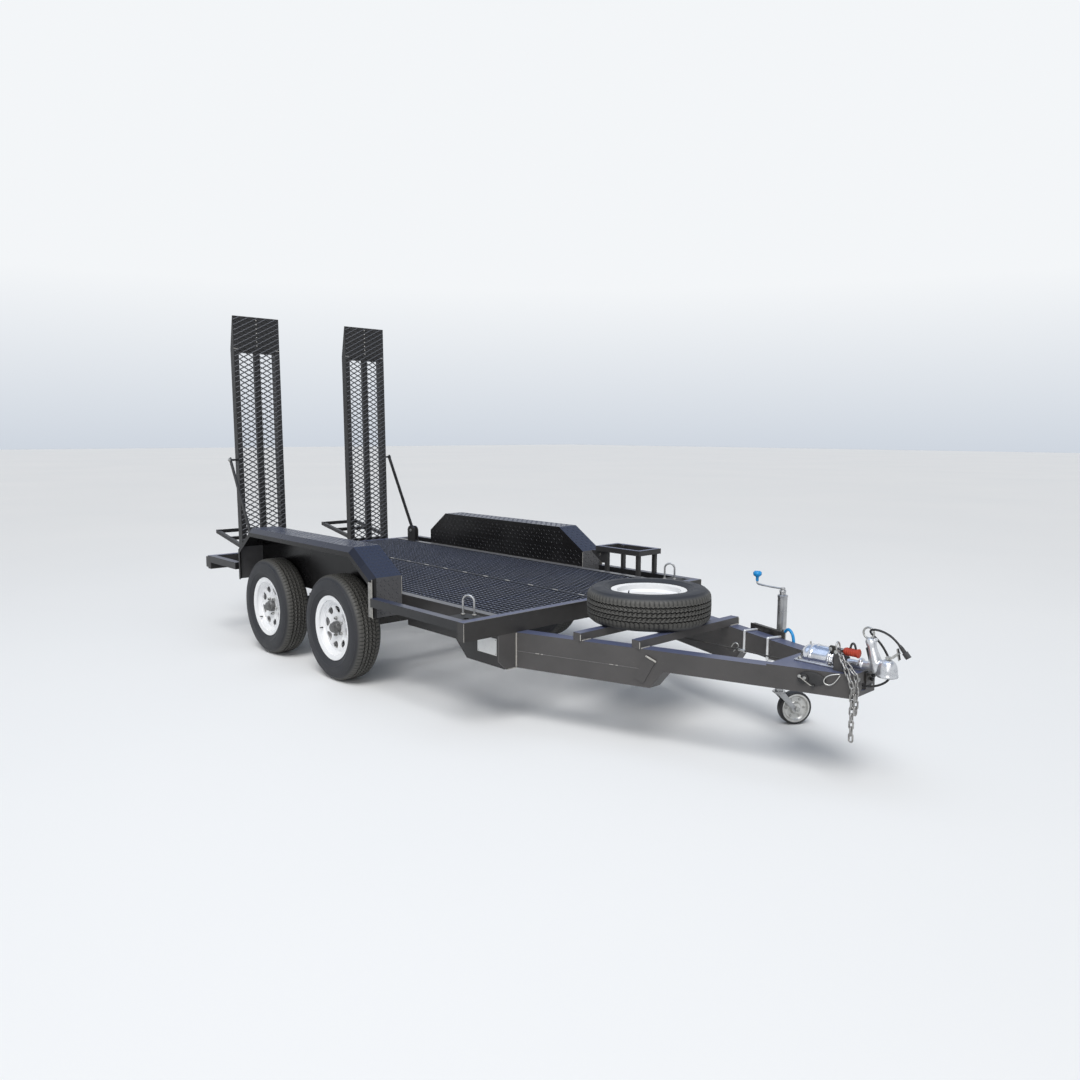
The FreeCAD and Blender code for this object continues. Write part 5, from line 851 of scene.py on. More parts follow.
# The pale strip on each guard's front edge is a painted reflection over scuffed metal.
glinting_edge_metal = uneven_finish("worn guard edge with painted reflection", (0.16, 0.158, 0.15), (0.4, 0.39, 0.36), (0.55, 0.54, 0.5),
    patch=90.0, grain=500.0, rough=(0.35, 0.6), bump=0.5, metallic=0.35)
edge_far = join("guard_edge_far",
    [block("edge_strip", (guard_front - 0.022, 0.9634, 0.587), (0.038, 0.0012, 0.204), glinting_edge_metal,
        bevel=0.0004),
    bead("edge_corner_bead", (guard_front - 0.001, 0.9625, 0.482), (guard_front - 0.001, 0.9625, 0.708),
        0.0022, 0.004),
    bead("edge_inner_bead", (guard_front - 0.001, 0.7605, 0.604), (guard_front - 0.001, 0.7605, 0.71),
    0.0022, 0.004)])
edge_near = copy_piece(edge_far, "guard_edge_near", mirrored)
for piece in (bars_far, bars_near, edge_far, edge_near):
    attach(piece, "chassis")

# Rear lamps and the plate on the chassis rail: each lamp is a black moulding with ribbed red, amber
# and clear lenses, and the plate is bare white enamel held by four small rivets.
dress(black_moulding, "rear_lamps")
lamp_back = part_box("rear_lamps")[0][0]
lens_pieces = []
for lens_name, tone, start, width in (("red lens", (0.42, 0.012, 0.01), 0.792, 0.089),
        ("amber lens", (0.6, 0.17, 0.012), 0.884, 0.047), ("clear lens", (0.62, 0.63, 0.63), 0.934, 0.037)):
    lens_finish = uneven_finish(lens_name, tone, tuple(value * 1.25 for value in tone), tone, patch=40.0,
        grain=700.0, rough=(0.08, 0.16), bump=0.08, coat_weight=0.6)
    lens = block("lens", (lamp_back + 0.001, start + width / 2, 0.55), (0.01, width, 0.07), lens_finish,
        bevel=0.003, segments=3)
    ribs = [rod("lens_rib", (lamp_back - 0.0035, start + 0.006, height),
        (lamp_back - 0.0035, start + width - 0.006, height), 0.0014, lens_finish, sides=8)
        for height in (0.523 + 0.006 * step for step in range(10))]
    lens_pieces += [lens] + ribs
lens_far = join("lamp_lenses_far", lens_pieces)
lens_near = copy_piece(lens_far, "lamp_lenses_near", mirrored)
enamel = uneven_finish("white enamel", (0.7, 0.71, 0.71), (0.8, 0.81, 0.8), (0.4, 0.39, 0.36), patch=20.0,
    grain=300.0, rough=(0.25, 0.4), bump=0.08, scuff_share=0.3)
dress(enamel, "bare_plate")
low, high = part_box("bare_plate")
rivets = []
for x in (low[0] + 0.008, high[0] - 0.008):
    for z in (low[2] + 0.008, high[2] - 0.008):
        rivets.append(rod("rivet", (x, low[1] + 0.001, z), (x, low[1] - 0.002, z), 0.003, bolt_zinc,
            sides=12, bevel=0.001))
plate_rivets = join("plate_rivets", rivets)
for piece in (lens_far, lens_near, plate_rivets):
    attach(piece, "chassis")

# Ramps: welded channels with raised mesh over their whole face, stood up on hinge pins behind the
# deck. A row of plug welds runs up the closed toe, and a flat stay is bolted to each outer stile.
ramp_black = uneven_finish("black ramp paint", (0.011, 0.011, 0.012), (0.021, 0.02, 0.02),
    (0.13, 0.125, 0.12), patch=5.0, grain=300.0, rough=(0.36, 0.52), scuff_share=0.45,
    specular_ior_level=0.4)
dress(ramp_black, "ramp_frame_near", "ramp_frame_far", "ramp_stay_near", "ramp_stay_far")
# The pale tint on the strand faces that look forward and up is a painted highlight.
ramp_mesh_black = uneven_finish("ramp mesh paint", (0.011, 0.011, 0.012), (0.021, 0.02, 0.02),
    (0.13, 0.125, 0.12), patch=5.0, grain=300.0, rough=(0.3, 0.45), scuff_share=0.45,
    painted_sheen=(0.11, 0.112, 0.125), painted_sheen_side=(0.8, 0, 0.6), painted_sheen_from=0.9)
hinge_x, hinge_height, ramp_out, ramp_face = -2.219, 0.575, 0.489, -0.019
ramp_lean = turn_by(-0.68, "Y")
mesh_strands = raised_mesh("ramp_strands", (0.012, -0.1865), (1.86, 0.1865), 0, ramp_mesh_black,
    strand=0.0085, tilt=0.0032, long_way=0.0747, gauge=0.0028)
moved(mesh_strands, (ramp_face + 0.001, 0, 0), turn_by(-90, "Y"))
toe_welds = [bead(f"toe_weld_{number}", (ramp_face + 0.003, -0.003, 1.64 + 0.033 * number),
    (ramp_face + 0.003, 0.004, 1.64 + 0.033 * number), 0.0052, 0.004) for number in range(7)]
edge_welds = [bead("toe_edge_weld", (ramp_face + 0.001, side, 1.612),
    (ramp_face + 0.001, side * 0.83, 1.612), 0.003, 0.005) for side in (-0.186, 0.186)]
ramp_welds = join("ramp_welds", toe_welds + edge_welds)
for side, sign in (("near", -1), ("far", 1)):
    ramp_place = Matrix.Translation((hinge_x, sign * ramp_out, hinge_height)) @ ramp_lean
    strands = copy_piece(mesh_strands, f"ramp_strands_{side}", ramp_place)
    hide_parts(f"ramp_mesh_{side}")
    welds = copy_piece(ramp_welds, f"ramp_welds_{side}", ramp_place)
    pivot = Vector((-2.278, sign * 0.736, 1.324))
    stay_bolt = join(f"stay_bolt_{side}",
        [hex_nut("bolt_head", pivot + Vector((0, sign * 0.0045, 0)), 0.024, 0.009, (0, 1, 0)),
        rod("bolt_washer", pivot, pivot + Vector((0, sign * 0.0018, 0)), 0.0155, bolt_zinc, sides=28),
        rod("bolt_tip", pivot, pivot + Vector((0, sign * 0.013, 0)), 0.0065, bolt_zinc, sides=14,
        bevel=0.001)])
    for piece in (strands, welds, stay_bolt):
        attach(piece, f"ramp_{side}")
    foot = Vector((-1.919, sign * 0.7505, 0.692))
    foot_bolt = join(f"stay_pin_{side}",
        [hex_nut("pin_head", foot + Vector((0, sign * 0.005, 0)), 0.024, 0.009, (0, 1, 0)),
        rod("pin_washer", foot, foot + Vector((0, sign * 0.002, 0)), 0.0155, bolt_zinc, sides=28),
        hex_nut("pin_nut", foot - Vector((0, sign * 0.0435, 0)), 0.024, 0.01, (0, 1, 0))])
    hinge_ends = join(f"hinge_pin_ends_{side}",
        [rod("pin_end", (hinge_x, sign * ramp_out + edge * 0.199, hinge_height),
        (hinge_x, sign * ramp_out + edge * 0.2045, hinge_height), 0.011, bolt_zinc, sides=20, bevel=0.0015)
        for edge in (-1, 1)])
    for piece in (foot_bolt, hinge_ends):
        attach(piece, "chassis")
for pattern in (mesh_strands, ramp_welds):
    bpy.data.objects.remove(pattern)

# Coupling: a galvanised casting. The housing is bolted on the nose, and the sliding shaft carries
# the socket, the hand post and a wire eye. Castings have no sharp edges, so each one is cast here
# as a rough form, melted together and smoothed.
cast_zinc = uneven_finish("galvanised casting", (0.5, 0.51, 0.53), (0.7, 0.71, 0.73), (0.3, 0.3, 0.29),
    patch=16.0, grain=260.0, rough=(0.22, 0.38), bump=0.35, bump_depth=0.0006, scuff_share=0.4,
    metallic=0.85)
dark_steel = uneven_finish("dark oiled steel", (0.03, 0.028, 0.026), (0.07, 0.065, 0.06), (0.22, 0.2, 0.18),
    patch=40.0, grain=500.0, rough=(0.35, 0.55), bump=0.25, metallic=0.5)
shaft_height = 0.531
socket_middle = Vector((nose_tip + 0.11, 0, 0.504))
post_foot = Vector((2.6717, 0, 0.526))
post_lean = -17
post_stand = Matrix.Translation(post_foot) @ turn_by(post_lean, "Y")


def cast(name, pieces, grain=0.003, passes=8):
    """Rough forms melted into one casting with rounded meetings."""
    made = join(name, pieces)
    apply_modifier(made, "REMESH", mode="VOXEL", voxel_size=grain)
    apply_modifier(made, "SMOOTH", factor=0.6, iterations=passes)
    made.data.shade_smooth()
    return made


socket_form = moved(turned("socket_form",
    ((0.0002, 0.0), (0.046, 0.0), (0.046, 0.008), (0.0425, 0.012), (0.042, 0.03), (0.038, 0.05),
    (0.03, 0.065), (0.017, 0.0745), (0.0002, 0.077)), 40), socket_middle, upright)
post_form = moved(turned("post_form",
    ((0.0002, -0.004), (0.0285, -0.004), (0.029, 0.002), (0.0285, 0.018), (0.0262, 0.038), (0.0235, 0.06),
    (0.0205, 0.084), (0.019, 0.098), (0.0205, 0.106), (0.023, 0.114), (0.023, 0.126), (0.02, 0.136),
    (0.014, 0.141), (0.0002, 0.142)), 36), post_foot, turn_by(post_lean, "Y") @ upright)
shaft_form = rod("shaft_form", (2.385, 0, shaft_height), (2.7, 0, shaft_height), 0.02)
collar_form = rod("collar_form", (2.591, 0, shaft_height + 0.007), (2.605, 0, shaft_height + 0.007), 0.0265)
root_form = rod("root_form", (2.6, 0, shaft_height), (2.668, 0, shaft_height + 0.007), 0.0202, tip=0.0262)
bridge_form = block("bridge_form", (2.69, 0, 0.5355), (0.062, 0.05, 0.045))
lip_form = block("lip_form", post_stand @ Vector((0.018, 0, 0.127)), (0.022, 0.03, 0.014),
    turn=(0, math.radians(-35), 0))
head_casting = cast("head_casting",
    [socket_form, post_form, shaft_form, collar_form, root_form, bridge_form, lip_form])
ball_bore = moved(turned("ball_bore",
    ((0.0002, -0.01), (0.0265, -0.01), (0.0262, 0.028), (0.021, 0.042), (0.011, 0.05), (0.0002, 0.052)),
    40), socket_middle, upright)
apply_modifier(head_casting, "BOOLEAN", operation="DIFFERENCE", object=ball_bore, solver="EXACT")
bpy.data.objects.remove(ball_bore)
paint(head_casting, cast_zinc)
eye_ring = shape("eye_ring", bolt_zinc, bpy.ops.mesh.primitive_torus_add, location=(2.6243, 0, 0.681),
    rotation=(math.pi / 2, 0, 0), major_radius=0.024, minor_radius=0.0045, major_segments=48,
    minor_segments=12)
bpy.ops.object.shade_smooth()
strip = moved(block("post_strip", post_stand @ Vector((-0.0225, 0, 0.07)), (0.006, 0.02, 0.064),
    black_moulding, turn=(0, math.radians(post_lean), 0), bevel=0.002), (0.0015, -0.004, 0))
wear_pad = turned("socket_lip", ((0.027, 0.0005), (0.027, -0.001), (0.044, -0.001), (0.044, 0.0005)), 40,
    dark_steel, closed=True)
moved(wear_pad, socket_middle + Vector((0, 0, 0.001)), upright)
head_dressing = join("head_casting", [head_casting, eye_ring, strip, wear_pad])
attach(head_dressing, "head")
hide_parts("coupling_head")

bright_plating = uneven_finish("bright housing plating", (0.52, 0.53, 0.56), (0.74, 0.75, 0.78),
    (0.2, 0.2, 0.22), patch=26.0, grain=260.0, rough=(0.1, 0.22), bump=0.2, bump_depth=0.0006,
    metallic=0.95)
tail_form = shape("tail_form", None, bpy.ops.mesh.primitive_uv_sphere_add, segments=32, ring_count=20,
    radius=1, location=(2.352, 0, 0.528), scale=(0.04, 0.041, 0.042))
arch_form = rod("arch_form", (2.35, 0, 0.529), (2.486, 0, 0.531), 0.0415, tip=0.038)
foot_form = block("foot_form", (2.408, 0, 0.519), (0.172, 0.118, 0.022))
neck_form = rod("neck_form", (2.48, 0, shaft_height), (2.502, 0, shaft_height), 0.032)
hump_form = block("hump_form", (2.43, 0, 0.58), (0.062, 0.03, 0.012))
rib_forms = [rod("rib_form", (x, 0, 0.53), (x + 0.008, 0, 0.53), 0.0435) for x in (2.372, 2.462)]
form_foot = Vector((0, 0, 0.508))
stretched = (Matrix.Translation(form_foot + Vector((0.004, 0, 0))) @ Matrix.Diagonal((1, 1.6, 1.22, 1))
    @ Matrix.Translation(-form_foot))
for form in [arch_form, tail_form] + rib_forms:
    form.data.transform(stretched)
housing_casting = cast("housing_casting",
    [arch_form, tail_form, foot_form, neck_form, hump_form] + rib_forms, passes=14)
paint(housing_casting, bright_plating)
flange = block("housing_flange", (2.4035, 0, 0.5125), (0.195, 0.136, 0.009), cast_zinc, bevel=0.003,
    segments=3)
housing_bits = [housing_casting, flange]
for x in (2.33, 2.477):
    for y in (-0.055, 0.055):
        housing_bits.append(rod("flange_washer", (x, y, 0.517), (x, y, 0.5188), 0.0115, bolt_zinc,
            sides=24))
        housing_bits.append(hex_nut("flange_bolt", (x, y, 0.5225), 0.0185, 0.0085))
        housing_bits.append(rod("flange_stud", (x, y, 0.522), (x, y, 0.5285), 0.0052, bolt_zinc, sides=14,
            bevel=0.001))
for x in (2.35, 2.455):
    housing_bits.append(rod("grease_stem", (x, 0, 0.576), (x, 0, 0.5895), 0.004, bolt_zinc, sides=12))
    housing_bits.append(rod("grease_tip", (x, 0, 0.589), (x, 0, 0.595), 0.0048, bolt_zinc, sides=12,
        tip=0.0025, bevel=0.0008))
gaiter = smooth(turned("gaiter",
    ((0.0225, 0.0), (0.0335, 0.0), (0.0345, 0.004), (0.0275, 0.009), (0.0335, 0.014), (0.0268, 0.019),
    (0.032, 0.024), (0.026, 0.029), (0.029, 0.033), (0.0225, 0.033)), 36, black_rubber, closed=True), 60)
moved(gaiter, (2.4995, 0, shaft_height), turn_by(-90, "Z"))
brake_x, brake_y, brake_height = 2.48, -0.046, 0.592
housing_bits += [gaiter,
    block("brake_post", (brake_x, -0.037, 0.566), (0.026, 0.007, 0.076), dark_steel, bevel=0.002),
    rod("brake_pin", (brake_x, brake_y - 0.01, brake_height), (brake_x, brake_y + 0.013, brake_height),
    0.006, bolt_zinc, sides=16),
    hex_nut("brake_pin_nut", (brake_x, brake_y - 0.0115, brake_height), 0.016, 0.006, (0, 1, 0))]
housing = join("housing_casting", housing_bits)
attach(housing, "chassis")
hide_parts("coupling_housing")

# Release trigger: a folded strap on the dome with a black cross pin at its tip.
dress(bolt_zinc, "release_trigger")
trigger_foot = socket_middle + Vector((0, 0, 0.0763))
trigger_tip = trigger_foot + Vector((0.047, 0, 0.03))
cross_pin = join("trigger_cross_pin",
    [rod("pin_body", trigger_tip + Vector((0.004, 0, -0.022)), trigger_tip + Vector((-0.006, 0, 0.026)),
    0.0036, black_moulding, sides=14, bevel=0.001),
    rod("hinge_head", trigger_foot + Vector((0.002, -0.0145, 0.006)),
    trigger_foot + Vector((0.002, -0.012, 0.006)), 0.0072, bolt_zinc, sides=20, bevel=0.001)])
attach(cross_pin, "trigger")

# Handbrake: a pressed arm with a red ribbed grip, and a black release tab that stands up from it.
red_rubber = uneven_finish("red grip rubber", (0.34, 0.034, 0.015), (0.47, 0.06, 0.026), (0.25, 0.05, 0.03),
    patch=40.0, grain=600.0, rough=(0.35, 0.5))
grip_profile = [(0.0002, 0.0), (0.012, 0.0), (0.0155, 0.003)]
for rib in range(6):
    start = 0.008 + rib * 0.0095
    grip_profile += [(0.016, start), (0.0182, start + 0.0025), (0.0182, start + 0.0055),
        (0.016, start + 0.008)]
grip_profile += [(0.0205, 0.066), (0.0205, 0.0695), (0.017, 0.0722), (0.0002, 0.073)]
grip = smooth(turned("brake_grip", grip_profile, 28, red_rubber), 40)
moved(grip, (2.538, brake_y, brake_height), turn_by(-90, "Z"))
tab_route = [(x, brake_y, height)
    for x, height in ((2.592, 0.604), (2.59, 0.622), (2.58, 0.636), (2.569, 0.626), (2.566, 0.604))]
handbrake = join("handbrake_dressed",
    [grip,
    block("brake_arm", (2.512, brake_y, brake_height), (0.066, 0.006, 0.02), dark_steel, bevel=0.002),
    rod("brake_eye", (brake_x, brake_y - 0.0045, brake_height), (brake_x, brake_y + 0.0045, brake_height),
        0.0145, dark_steel, sides=28, bevel=0.0015),
    wire("brake_tab", tab_route, 0.0048, black_moulding),
    rod("brake_spring", (2.515, -0.054, 0.598), (2.545, -0.054, 0.598), 0.0042, bolt_zinc, sides=12)])
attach(handbrake, "handbrake")
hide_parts("handbrake_lever")

# Under the nose: a dark bracket with two black knobs, and two bolts in the nose plate.
under_bits = [
    block("knob_bracket", (nose_tip + 0.013, 0.03, 0.48), (0.008, 0.06, 0.044), dark_steel, bevel=0.002),
    rod("knob_stem", (nose_tip + 0.012, 0.036, 0.486), (nose_tip + 0.03, 0.03, 0.488), 0.004, bolt_zinc,
        sides=12),
    rod("knob_upper", (nose_tip + 0.029, 0.03, 0.488), (nose_tip + 0.043, 0.026, 0.49), 0.0085,
    black_moulding, bevel=0.003),
    rod("knob_lower", (nose_tip + 0.016, 0.046, 0.466), (nose_tip + 0.031, 0.046, 0.464), 0.0085,
    black_moulding, bevel=0.003),
    hex_nut("nose_bolt_near", (nose_tip + 0.01, -0.055, 0.48), 0.016, 0.008, (1, 0, 0)),
    hex_nut("nose_bolt_far", (nose_tip + 0.01, 0.066, 0.43), 0.016, 0.008, (1, 0, 0))]
nose_fittings = join("nose_fittings", under_bits)
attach(nose_fittings, "chassis")

# Safety chains: welded round links, each turned a quarter from the last. Two chains hang from the
# flat post on the nose, side by side, and a bow shackle closes the upper one.
chain_steel = uneven_finish("chain steel", (0.16, 0.155, 0.15), (0.46, 0.455, 0.44), (0.1, 0.085, 0.07),
    patch=55.0, grain=500.0, rough=(0.28, 0.5), bump=0.25, metallic=0.85)
link_rod, link_width, link_length, link_pitch = 0.004, 0.026, 0.046, 0.0292
link = shape("chain_link", chain_steel, bpy.ops.mesh.primitive_torus_add,
    major_radius=link_width / 2 - link_rod, minor_radius=link_rod, major_segments=16, minor_segments=9,
    rotation=(math.pi / 2, math.radians(11.25), 0))
bpy.ops.object.shade_smooth()
for vertex in link.data.vertices:
    vertex.co.z += math.copysign((link_length - link_width) / 2, vertex.co.z)
chain_y = -0.088


def hang_chain(name, route, count):
    """Links along straight runs, one pitch at a time, every other one turned a quarter."""
    here = Vector(route[0])
    corners = [Vector(point) for point in route[1:]]
    links = []
    for number in range(count):
        while len(corners) > 1 and (corners[0] - here).length < link_pitch:
            corners.pop(0)
        step = (corners[0] - here).normalized() * link_pitch
        turn = Vector((0, 0, -1)).rotation_difference(step).to_matrix().to_4x4()
        quarter = turn_by(90 * ((number + 1) % 2) + 4 * math.sin(number * 2.3), "Z")
        links.append(copy_piece(link, f"{name}_{number}",
            Matrix.Translation(here + step / 2) @ turn @ quarter))
        here = here + step
    return links


deck_level = 0.6


def chain_route(start, corners):
    """A chain's path: its start, its corners from the nose, and straight down from the last."""
    spots = [(nose_tip + x, chain_y + y, deck_level + z) for x, y, z in corners]
    return [start] + spots + [(*spots[-1][:2], 0)]


post_x = 2.532
links = hang_chain("upper_link",
    chain_route((post_x, chain_y, 0.596),
    ((-0.042, -0.016, -0.032), (-0.012, -0.033, -0.078), (0.012, -0.036, -0.128), (0.022, -0.031, -0.165))),
    14)
links += hang_chain("lower_link",
    chain_route((2.55, chain_y, 0.566),
    ((-0.016, -0.004, -0.064), (0.02, -0.006, -0.096), (0.024, -0.008, -0.13), (0.026, -0.014, -0.2))), 9)
chains = join("round_link_chains", links)
bpy.data.objects.remove(link)
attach(chains, "chassis")
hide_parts("safety_chains")
bow_route = [(x, chain_y + y, height)
    for x, y, height in ((2.532, -0.012, 0.59), (2.531, -0.012, 0.608), (2.53, -0.017, 0.624),
    (2.528, 0, 0.642), (2.53, 0.017, 0.624), (2.531, 0.012, 0.608), (2.532, 0.012, 0.59))]
shackle = join("bow_shackle",
    [wire("shackle_bow", bow_route, 0.0042, bolt_zinc),
    rod("shackle_pin", (post_x, chain_y - 0.02, 0.596), (post_x, chain_y + 0.018, 0.596), 0.0048, bolt_zinc,
    sides=16, bevel=0.001),
    rod("shackle_pin_head", (post_x, chain_y - 0.023, 0.596), (post_x, chain_y - 0.017, 0.596), 0.0085,
    bolt_zinc, sides=20, bevel=0.0015)])
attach(shackle, "chassis")

# Jockey stand: a zinc tube on a swing bracket, clamped to the far drawbar rail by two square
# U-bolts. The crank on top drives the inner tube, and a blue spring handle frees the swing.
stand_zinc = uneven_finish("zinc plated tube", (0.36, 0.365, 0.37), (0.5, 0.505, 0.51), (0.2, 0.2, 0.19),
    patch=12.0, grain=300.0, rough=(0.24, 0.38), scuff_share=0.4, metallic=0.85)
sky_blue = uneven_finish("sky blue plastic", (0.004, 0.22, 0.56), (0.008, 0.3, 0.68), (0.1, 0.4, 0.7),
    patch=30.0, grain=500.0, rough=(0.25, 0.38), bump=0.06, scuff_share=0.3)
dress(stand_zinc, "jockey_tube", "jockey_leg", "jockey_fork")
stand = Vector((1.951, 0.405, 0))
rail_turn = math.radians(-rail_lean)
clamp_x, clamp_y = 1.9249, 0.3256


def beside_rail(along, out, height):
    """A place by the far rail: so far along it from the stand, so far out from its outer face."""
    return Vector((clamp_x + along * math.cos(rail_turn) - out * math.sin(rail_turn),
        clamp_y + along * math.sin(rail_turn) + out * math.cos(rail_turn), height))


tube_rings = join("jockey_tube_rings",
    [turned("top_ring",
    ((0.0252, -0.01), (0.0268, -0.008), (0.0268, 0.001), (0.024, 0.0035), (0.0165, 0.004), (0.0165, 0.0),
    (0.0252, 0.0)), 40, stand_zinc, closed=True),
    turned("cap_ring",
    ((0.016, 0.018), (0.0172, 0.019), (0.0172, 0.026), (0.0155, 0.0285), (0.015, 0.0285), (0.015, 0.018)),
    36, stand_zinc, closed=True)])
smooth(moved(tube_rings, stand + Vector((0, 0, 0.7)), upright), 40)
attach(tube_rings, "jockey_stand")

crank_level = 0.7353
knob_middle = stand + Vector((-0.157, 0, crank_level))
knob = smooth(turned("crank_knob",
    ((0.0002, -0.006), (0.0072, -0.006), (0.0082, 0.002), (0.008, 0.01), (0.01, 0.017), (0.0205, 0.024),
    (0.023, 0.032), (0.0225, 0.041), (0.0165, 0.047), (0.0002, 0.048)), 32, sky_blue), 50)
moved(knob, knob_middle + Vector((0, 0, 0.028)), upright)
crank = join("bent_crank",
    [rod("crank_boss", stand + Vector((0, 0, 0.7284)), stand + Vector((0, 0, 0.7424)), 0.0125, stand_zinc,
        bevel=0.002),
    wire("crank_rod",
        [stand + Vector((0.004, 0, crank_level)), stand + Vector((-0.06, 0, crank_level)),
        stand + Vector((-0.13, 0, crank_level + 0.004)), knob_middle + Vector((0.002, 0, 0.006)),
        knob_middle + Vector((0, 0, 0.022)), knob_middle + Vector((0, 0, 0.04))],
        0.005, stand_zinc, sides=4),
    knob])
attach(crank, "jockey_handle")
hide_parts("jockey_crank")

pale_plating = uneven_finish("pale bolt plating", (0.62, 0.63, 0.64), (0.8, 0.81, 0.82), (0.35, 0.35, 0.34),
    patch=30.0, grain=400.0, rough=(0.25, 0.4), bump=0.1, metallic=0.55)
bracket_bits = [block("bracket_plate", (0, 0, 0), (0.27, 0.008, 0.138), dark_steel, bevel=0.003),
    block("bracket_lip", (0, 0.01, 0.066), (0.25, 0.022, 0.006), dark_steel, bevel=0.002)]
for piece in bracket_bits:
    moved(piece, beside_rail(-0.0162, 0.004, 0.463), Matrix.Rotation(rail_turn, 4, "Z"))
rail_out = Vector((-math.sin(rail_turn), math.cos(rail_turn), 0))
for along in (-0.103, -0.013, 0.1):
    spot = beside_rail(along, 0.012, 0.515)
    bracket_bits.append(hex_nut("bracket_bolt", spot, 0.02, 0.009, rail_out))
    bracket_bits.append(rod("bracket_stud", spot, spot + rail_out * 0.01, 0.0058, bolt_zinc, sides=14,
        bevel=0.001))
bolt_reach, bolt_top, bolt_low = -0.081, 0.506, 0.394
bolt_turns = ((0.026, bolt_top), (-0.06, bolt_top), (-0.0795, bolt_top), (bolt_reach, bolt_top),
    (bolt_reach, 0.5045), (bolt_reach, 0.486), (bolt_reach, 0.414), (bolt_reach, 0.3955),
    (bolt_reach, bolt_low), (-0.0795, bolt_low), (-0.06, bolt_low), (0.026, bolt_low))
for along in (-0.0949, 0.0921):
    bracket_bits.append(wire("rail_bolt", [beside_rail(along, *bolt_turn) for bolt_turn in bolt_turns],
        0.0072, pale_plating, sides=4))
    for height in (bolt_top, bolt_low):
        bracket_bits.append(hex_nut("rail_bolt_nut", beside_rail(along, 0.0135, height), 0.019, 0.01,
            rail_out))
bracket_bits.append(rod("pivot_pin", beside_rail(0, 0.008, 0.47), beside_rail(0, 0.04, 0.47), 0.014,
    bolt_zinc, bevel=0.0015))
bracket = join("stand_bracket", bracket_bits)
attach(bracket, "chassis")
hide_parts("jockey_bracket")

lever_along, lever_out, lever_height = 0.048, 0.016, 0.5


def lever_route(*points):
    """Places along the lever, each so far along the rail and so far above its pin."""
    return [beside_rail(lever_along + along, lever_out, lever_height + rise) for along, rise in points]


arm_route = lever_route((0, 0.002), (0.014, 0.012), (0.034, 0.03), (0.048, 0.044))
strip_route = lever_route((0.06, 0.034), (0.073, 0.05), (0.092, 0.052), (0.112, 0.038), (0.124, 0.012),
    (0.127, -0.022), (0.124, -0.058))
lever = join("blue_lever",
    [wire("lever_arm", arm_route, 0.0042, bolt_zinc, sides=4),
    wire("lever_strip", strip_route, 0.0078, sky_blue, sides=4),
    rod("lever_pin", beside_rail(lever_along, lever_out - 0.008, lever_height),
    beside_rail(lever_along, lever_out + 0.009, lever_height), 0.008, bolt_zinc, sides=20, bevel=0.001)])
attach(lever, "jockey_lever")
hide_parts("swing_lever")

# Jockey wheel: a pressed silver disc in two halves with a thin black rubber tyre on its rim.
wheel_silver = uneven_finish("silver wheel disc", (0.5, 0.5, 0.48), (0.66, 0.655, 0.63), (0.28, 0.26, 0.23),
    patch=24.0, grain=320.0, rough=(0.26, 0.42), bump=0.25, metallic=0.75)
disc_half = ((0.0095, 0.025), (0.023, 0.025), (0.0265, 0.023), (0.029, 0.015), (0.034, 0.01),
    (0.048, 0.0085), (0.06, 0.0105), (0.0655, 0.0165), (0.069, 0.0235), (0.0745, 0.024), (0.0775, 0.0225))
disc_section = [(radius, -along) for radius, along in disc_half] + list(reversed(disc_half))
wheel_disc = smooth(turned("jockey_disc", disc_section, 64, wheel_silver, closed=True))
wheel_tyre = smooth(turned("jockey_tyre",
    ((0.077, -0.023), (0.08, -0.0245), (0.085, -0.0235), (0.0885, -0.019), (0.09, -0.011), (0.09, 0.011),
    (0.0885, 0.019), (0.085, 0.0235), (0.08, 0.0245), (0.077, 0.023)), 72, black_rubber, closed=True), 50)
wheel_bits = [wheel_disc, wheel_tyre]
bolt_circle, bolt_out = 0.05, 0.01058
for number in range(6):
    angle = math.pi * number / 3
    for out in (-bolt_out, bolt_out):
        wheel_bits.append(hex_nut("disc_bolt",
            (bolt_circle * math.cos(angle), out, bolt_circle * math.sin(angle)), 0.012, 0.006, (0, 1, 0)))
jockey_wheel = join("jockey_disc_wheel", wheel_bits)
trail = math.radians(57)
axle_middle = Vector((2.0, 0.4805, 0.09))
moved(jockey_wheel, axle_middle, Matrix.Rotation(trail, 4, "Z"))
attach(jockey_wheel, "jockey_roller")
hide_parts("jockey_wheel")
across_wheel = Vector((-math.sin(trail), math.cos(trail), 0))
axle_nuts = join("jockey_axle_nuts",
    [hex_nut("axle_nut", axle_middle + across_wheel * side * 0.0395, 0.024, 0.01, across_wheel)
    for side in (-1, 1)])
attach(axle_nuts, "jockey_swivel_fork")

# Brake cables and their fittings: a black oval guide plate with two bright bolts on the near rail,
# a steel cable loop beside it, and a spring hook on the cable across the frame.
rail_along = Vector((math.cos(math.radians(rail_lean)), math.sin(math.radians(rail_lean)), 0))
near_out = Vector((rail_along.y, -rail_along.x, 0))


def near_rail_spot(x, out, height):
    """A place outside the near drawbar rail, at a distance x along the trailer."""
    return Vector((x, -rail_face(x - front_face), height)) + near_out * out


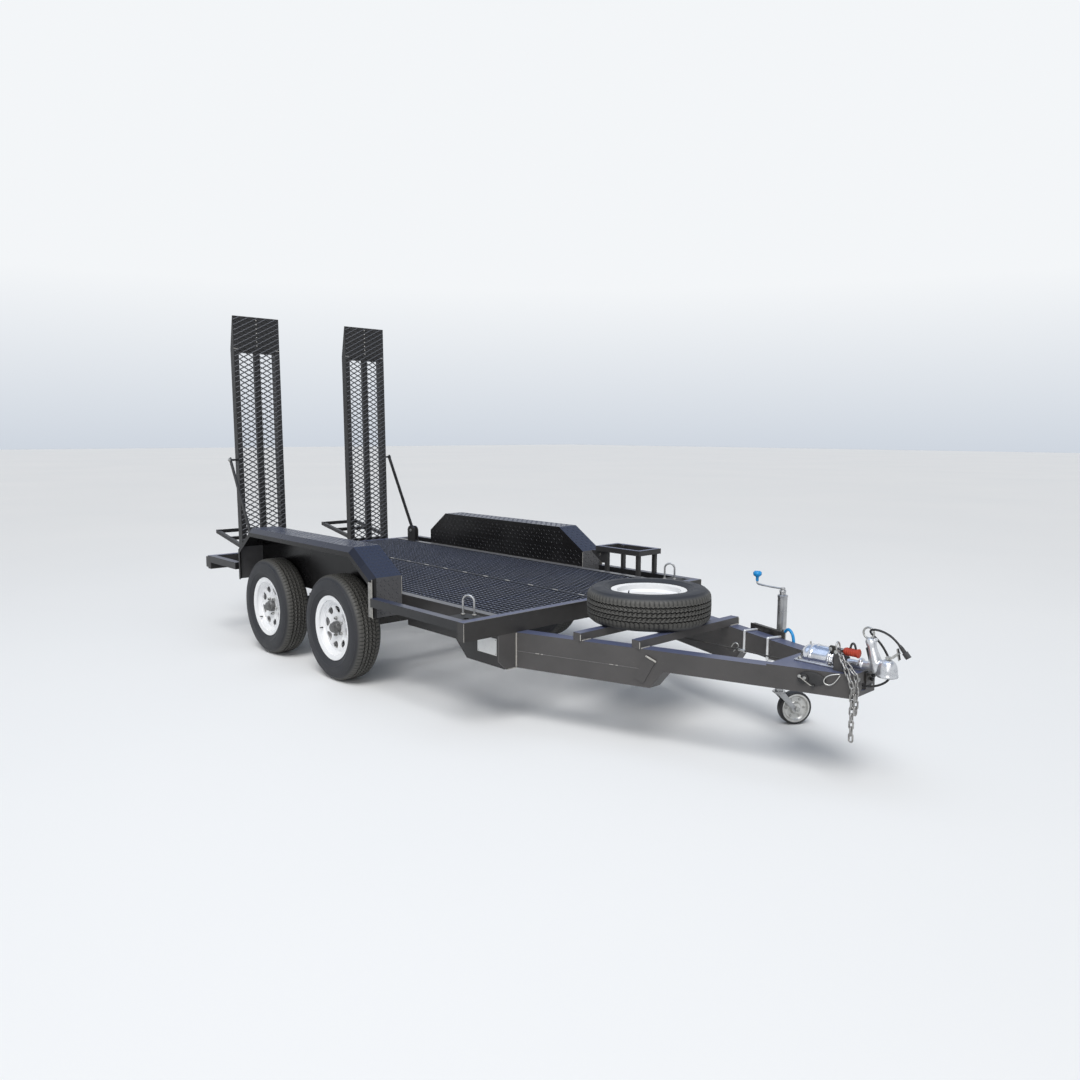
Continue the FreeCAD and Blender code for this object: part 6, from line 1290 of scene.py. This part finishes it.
guide_middle = near_rail_spot(2.45, 0.004, 0.47)
guide_lean, guide_stretch = 0.08, 1.95
guide = rod("guide_plate", (0, -0.004, 0), (0, 0.004, 0), 0.03, black_moulding, sides=40, bevel=0.002)
moved(guide, guide_middle,
    turn_by(rail_lean, "Z") @ Matrix.Rotation(guide_lean, 4, "Y")
    @ Matrix.Diagonal((guide_stretch, 1, 1, 1)))
guide_low = Vector((0, 0, -0.004))
guide_end = rod("guide_end", guide_middle - rail_along * 0.038 + near_out * 0.002 + guide_low,
    guide_middle - rail_along * 0.038 + near_out * 0.013 + guide_low, 0.024, black_rubber, sides=32,
    bevel=0.004)
cable_bits = [guide, guide_end]
for along, rise in ((-0.052, 0.008), (-0.03, 0.002)):
    spot = guide_middle + rail_along * along + Vector((0, 0, rise)) + near_out * 0.016
    cable_bits.append(hex_nut("guide_bolt", spot, 0.014, 0.007, near_out))
hook_route = [near_rail_spot(*spot)
    for spot in ((2.396, 0.02, 0.478), (2.412, 0.021, 0.468), (2.432, 0.019, 0.452), (2.45, 0.014, 0.438),
    (2.46, 0.009, 0.434))]
cable_bits.append(wire("pale_hook", hook_route, 0.0022, pale_weld))
cable_bits.append(rod("hook_ball", near_rail_spot(2.456, 0.004, 0.437), near_rail_spot(2.456, 0.016, 0.437),
    0.008, black_moulding, sides=20, bevel=0.003))
loop_route = [near_rail_spot(*spot)
    for spot in ((2.56, 0.004, 0.505), (2.535, 0.01, 0.503), (2.503, 0.012, 0.486), (2.497, 0.012, 0.46),
    (2.52, 0.012, 0.449), (2.547, 0.01, 0.468), (2.562, 0.004, 0.5))]
cable_bits.append(wire("cable_loop", loop_route, 0.0024, wheel_silver))
cable_bits.append(wire("nose_loop",
    [(2.47, -0.06, 0.52), (2.505, -0.08, 0.534), (2.54, -0.07, 0.522), (2.56, -0.05, 0.52)], 0.0026,
    black_rubber))
hook_x = 1.9
cable_bits.append(wire("spring_hook",
    [(hook_x - 0.02, 0.058, 0.47), (hook_x - 0.008, 0.052, 0.492), (hook_x + 0.016, 0.052, 0.498),
    (hook_x + 0.024, 0.06, 0.48), (hook_x + 0.004, 0.064, 0.462), (hook_x - 0.014, 0.068, 0.446)], 0.0028,
    bolt_zinc))
cable_bits.append(rod("hook_barrel", (hook_x + 0.02, 0.06, 0.462), (hook_x + 0.06, 0.06, 0.462), 0.0062,
    bolt_zinc, sides=16, bevel=0.001))
brake_fittings = join("brake_fittings", cable_bits)
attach(brake_fittings, "chassis")
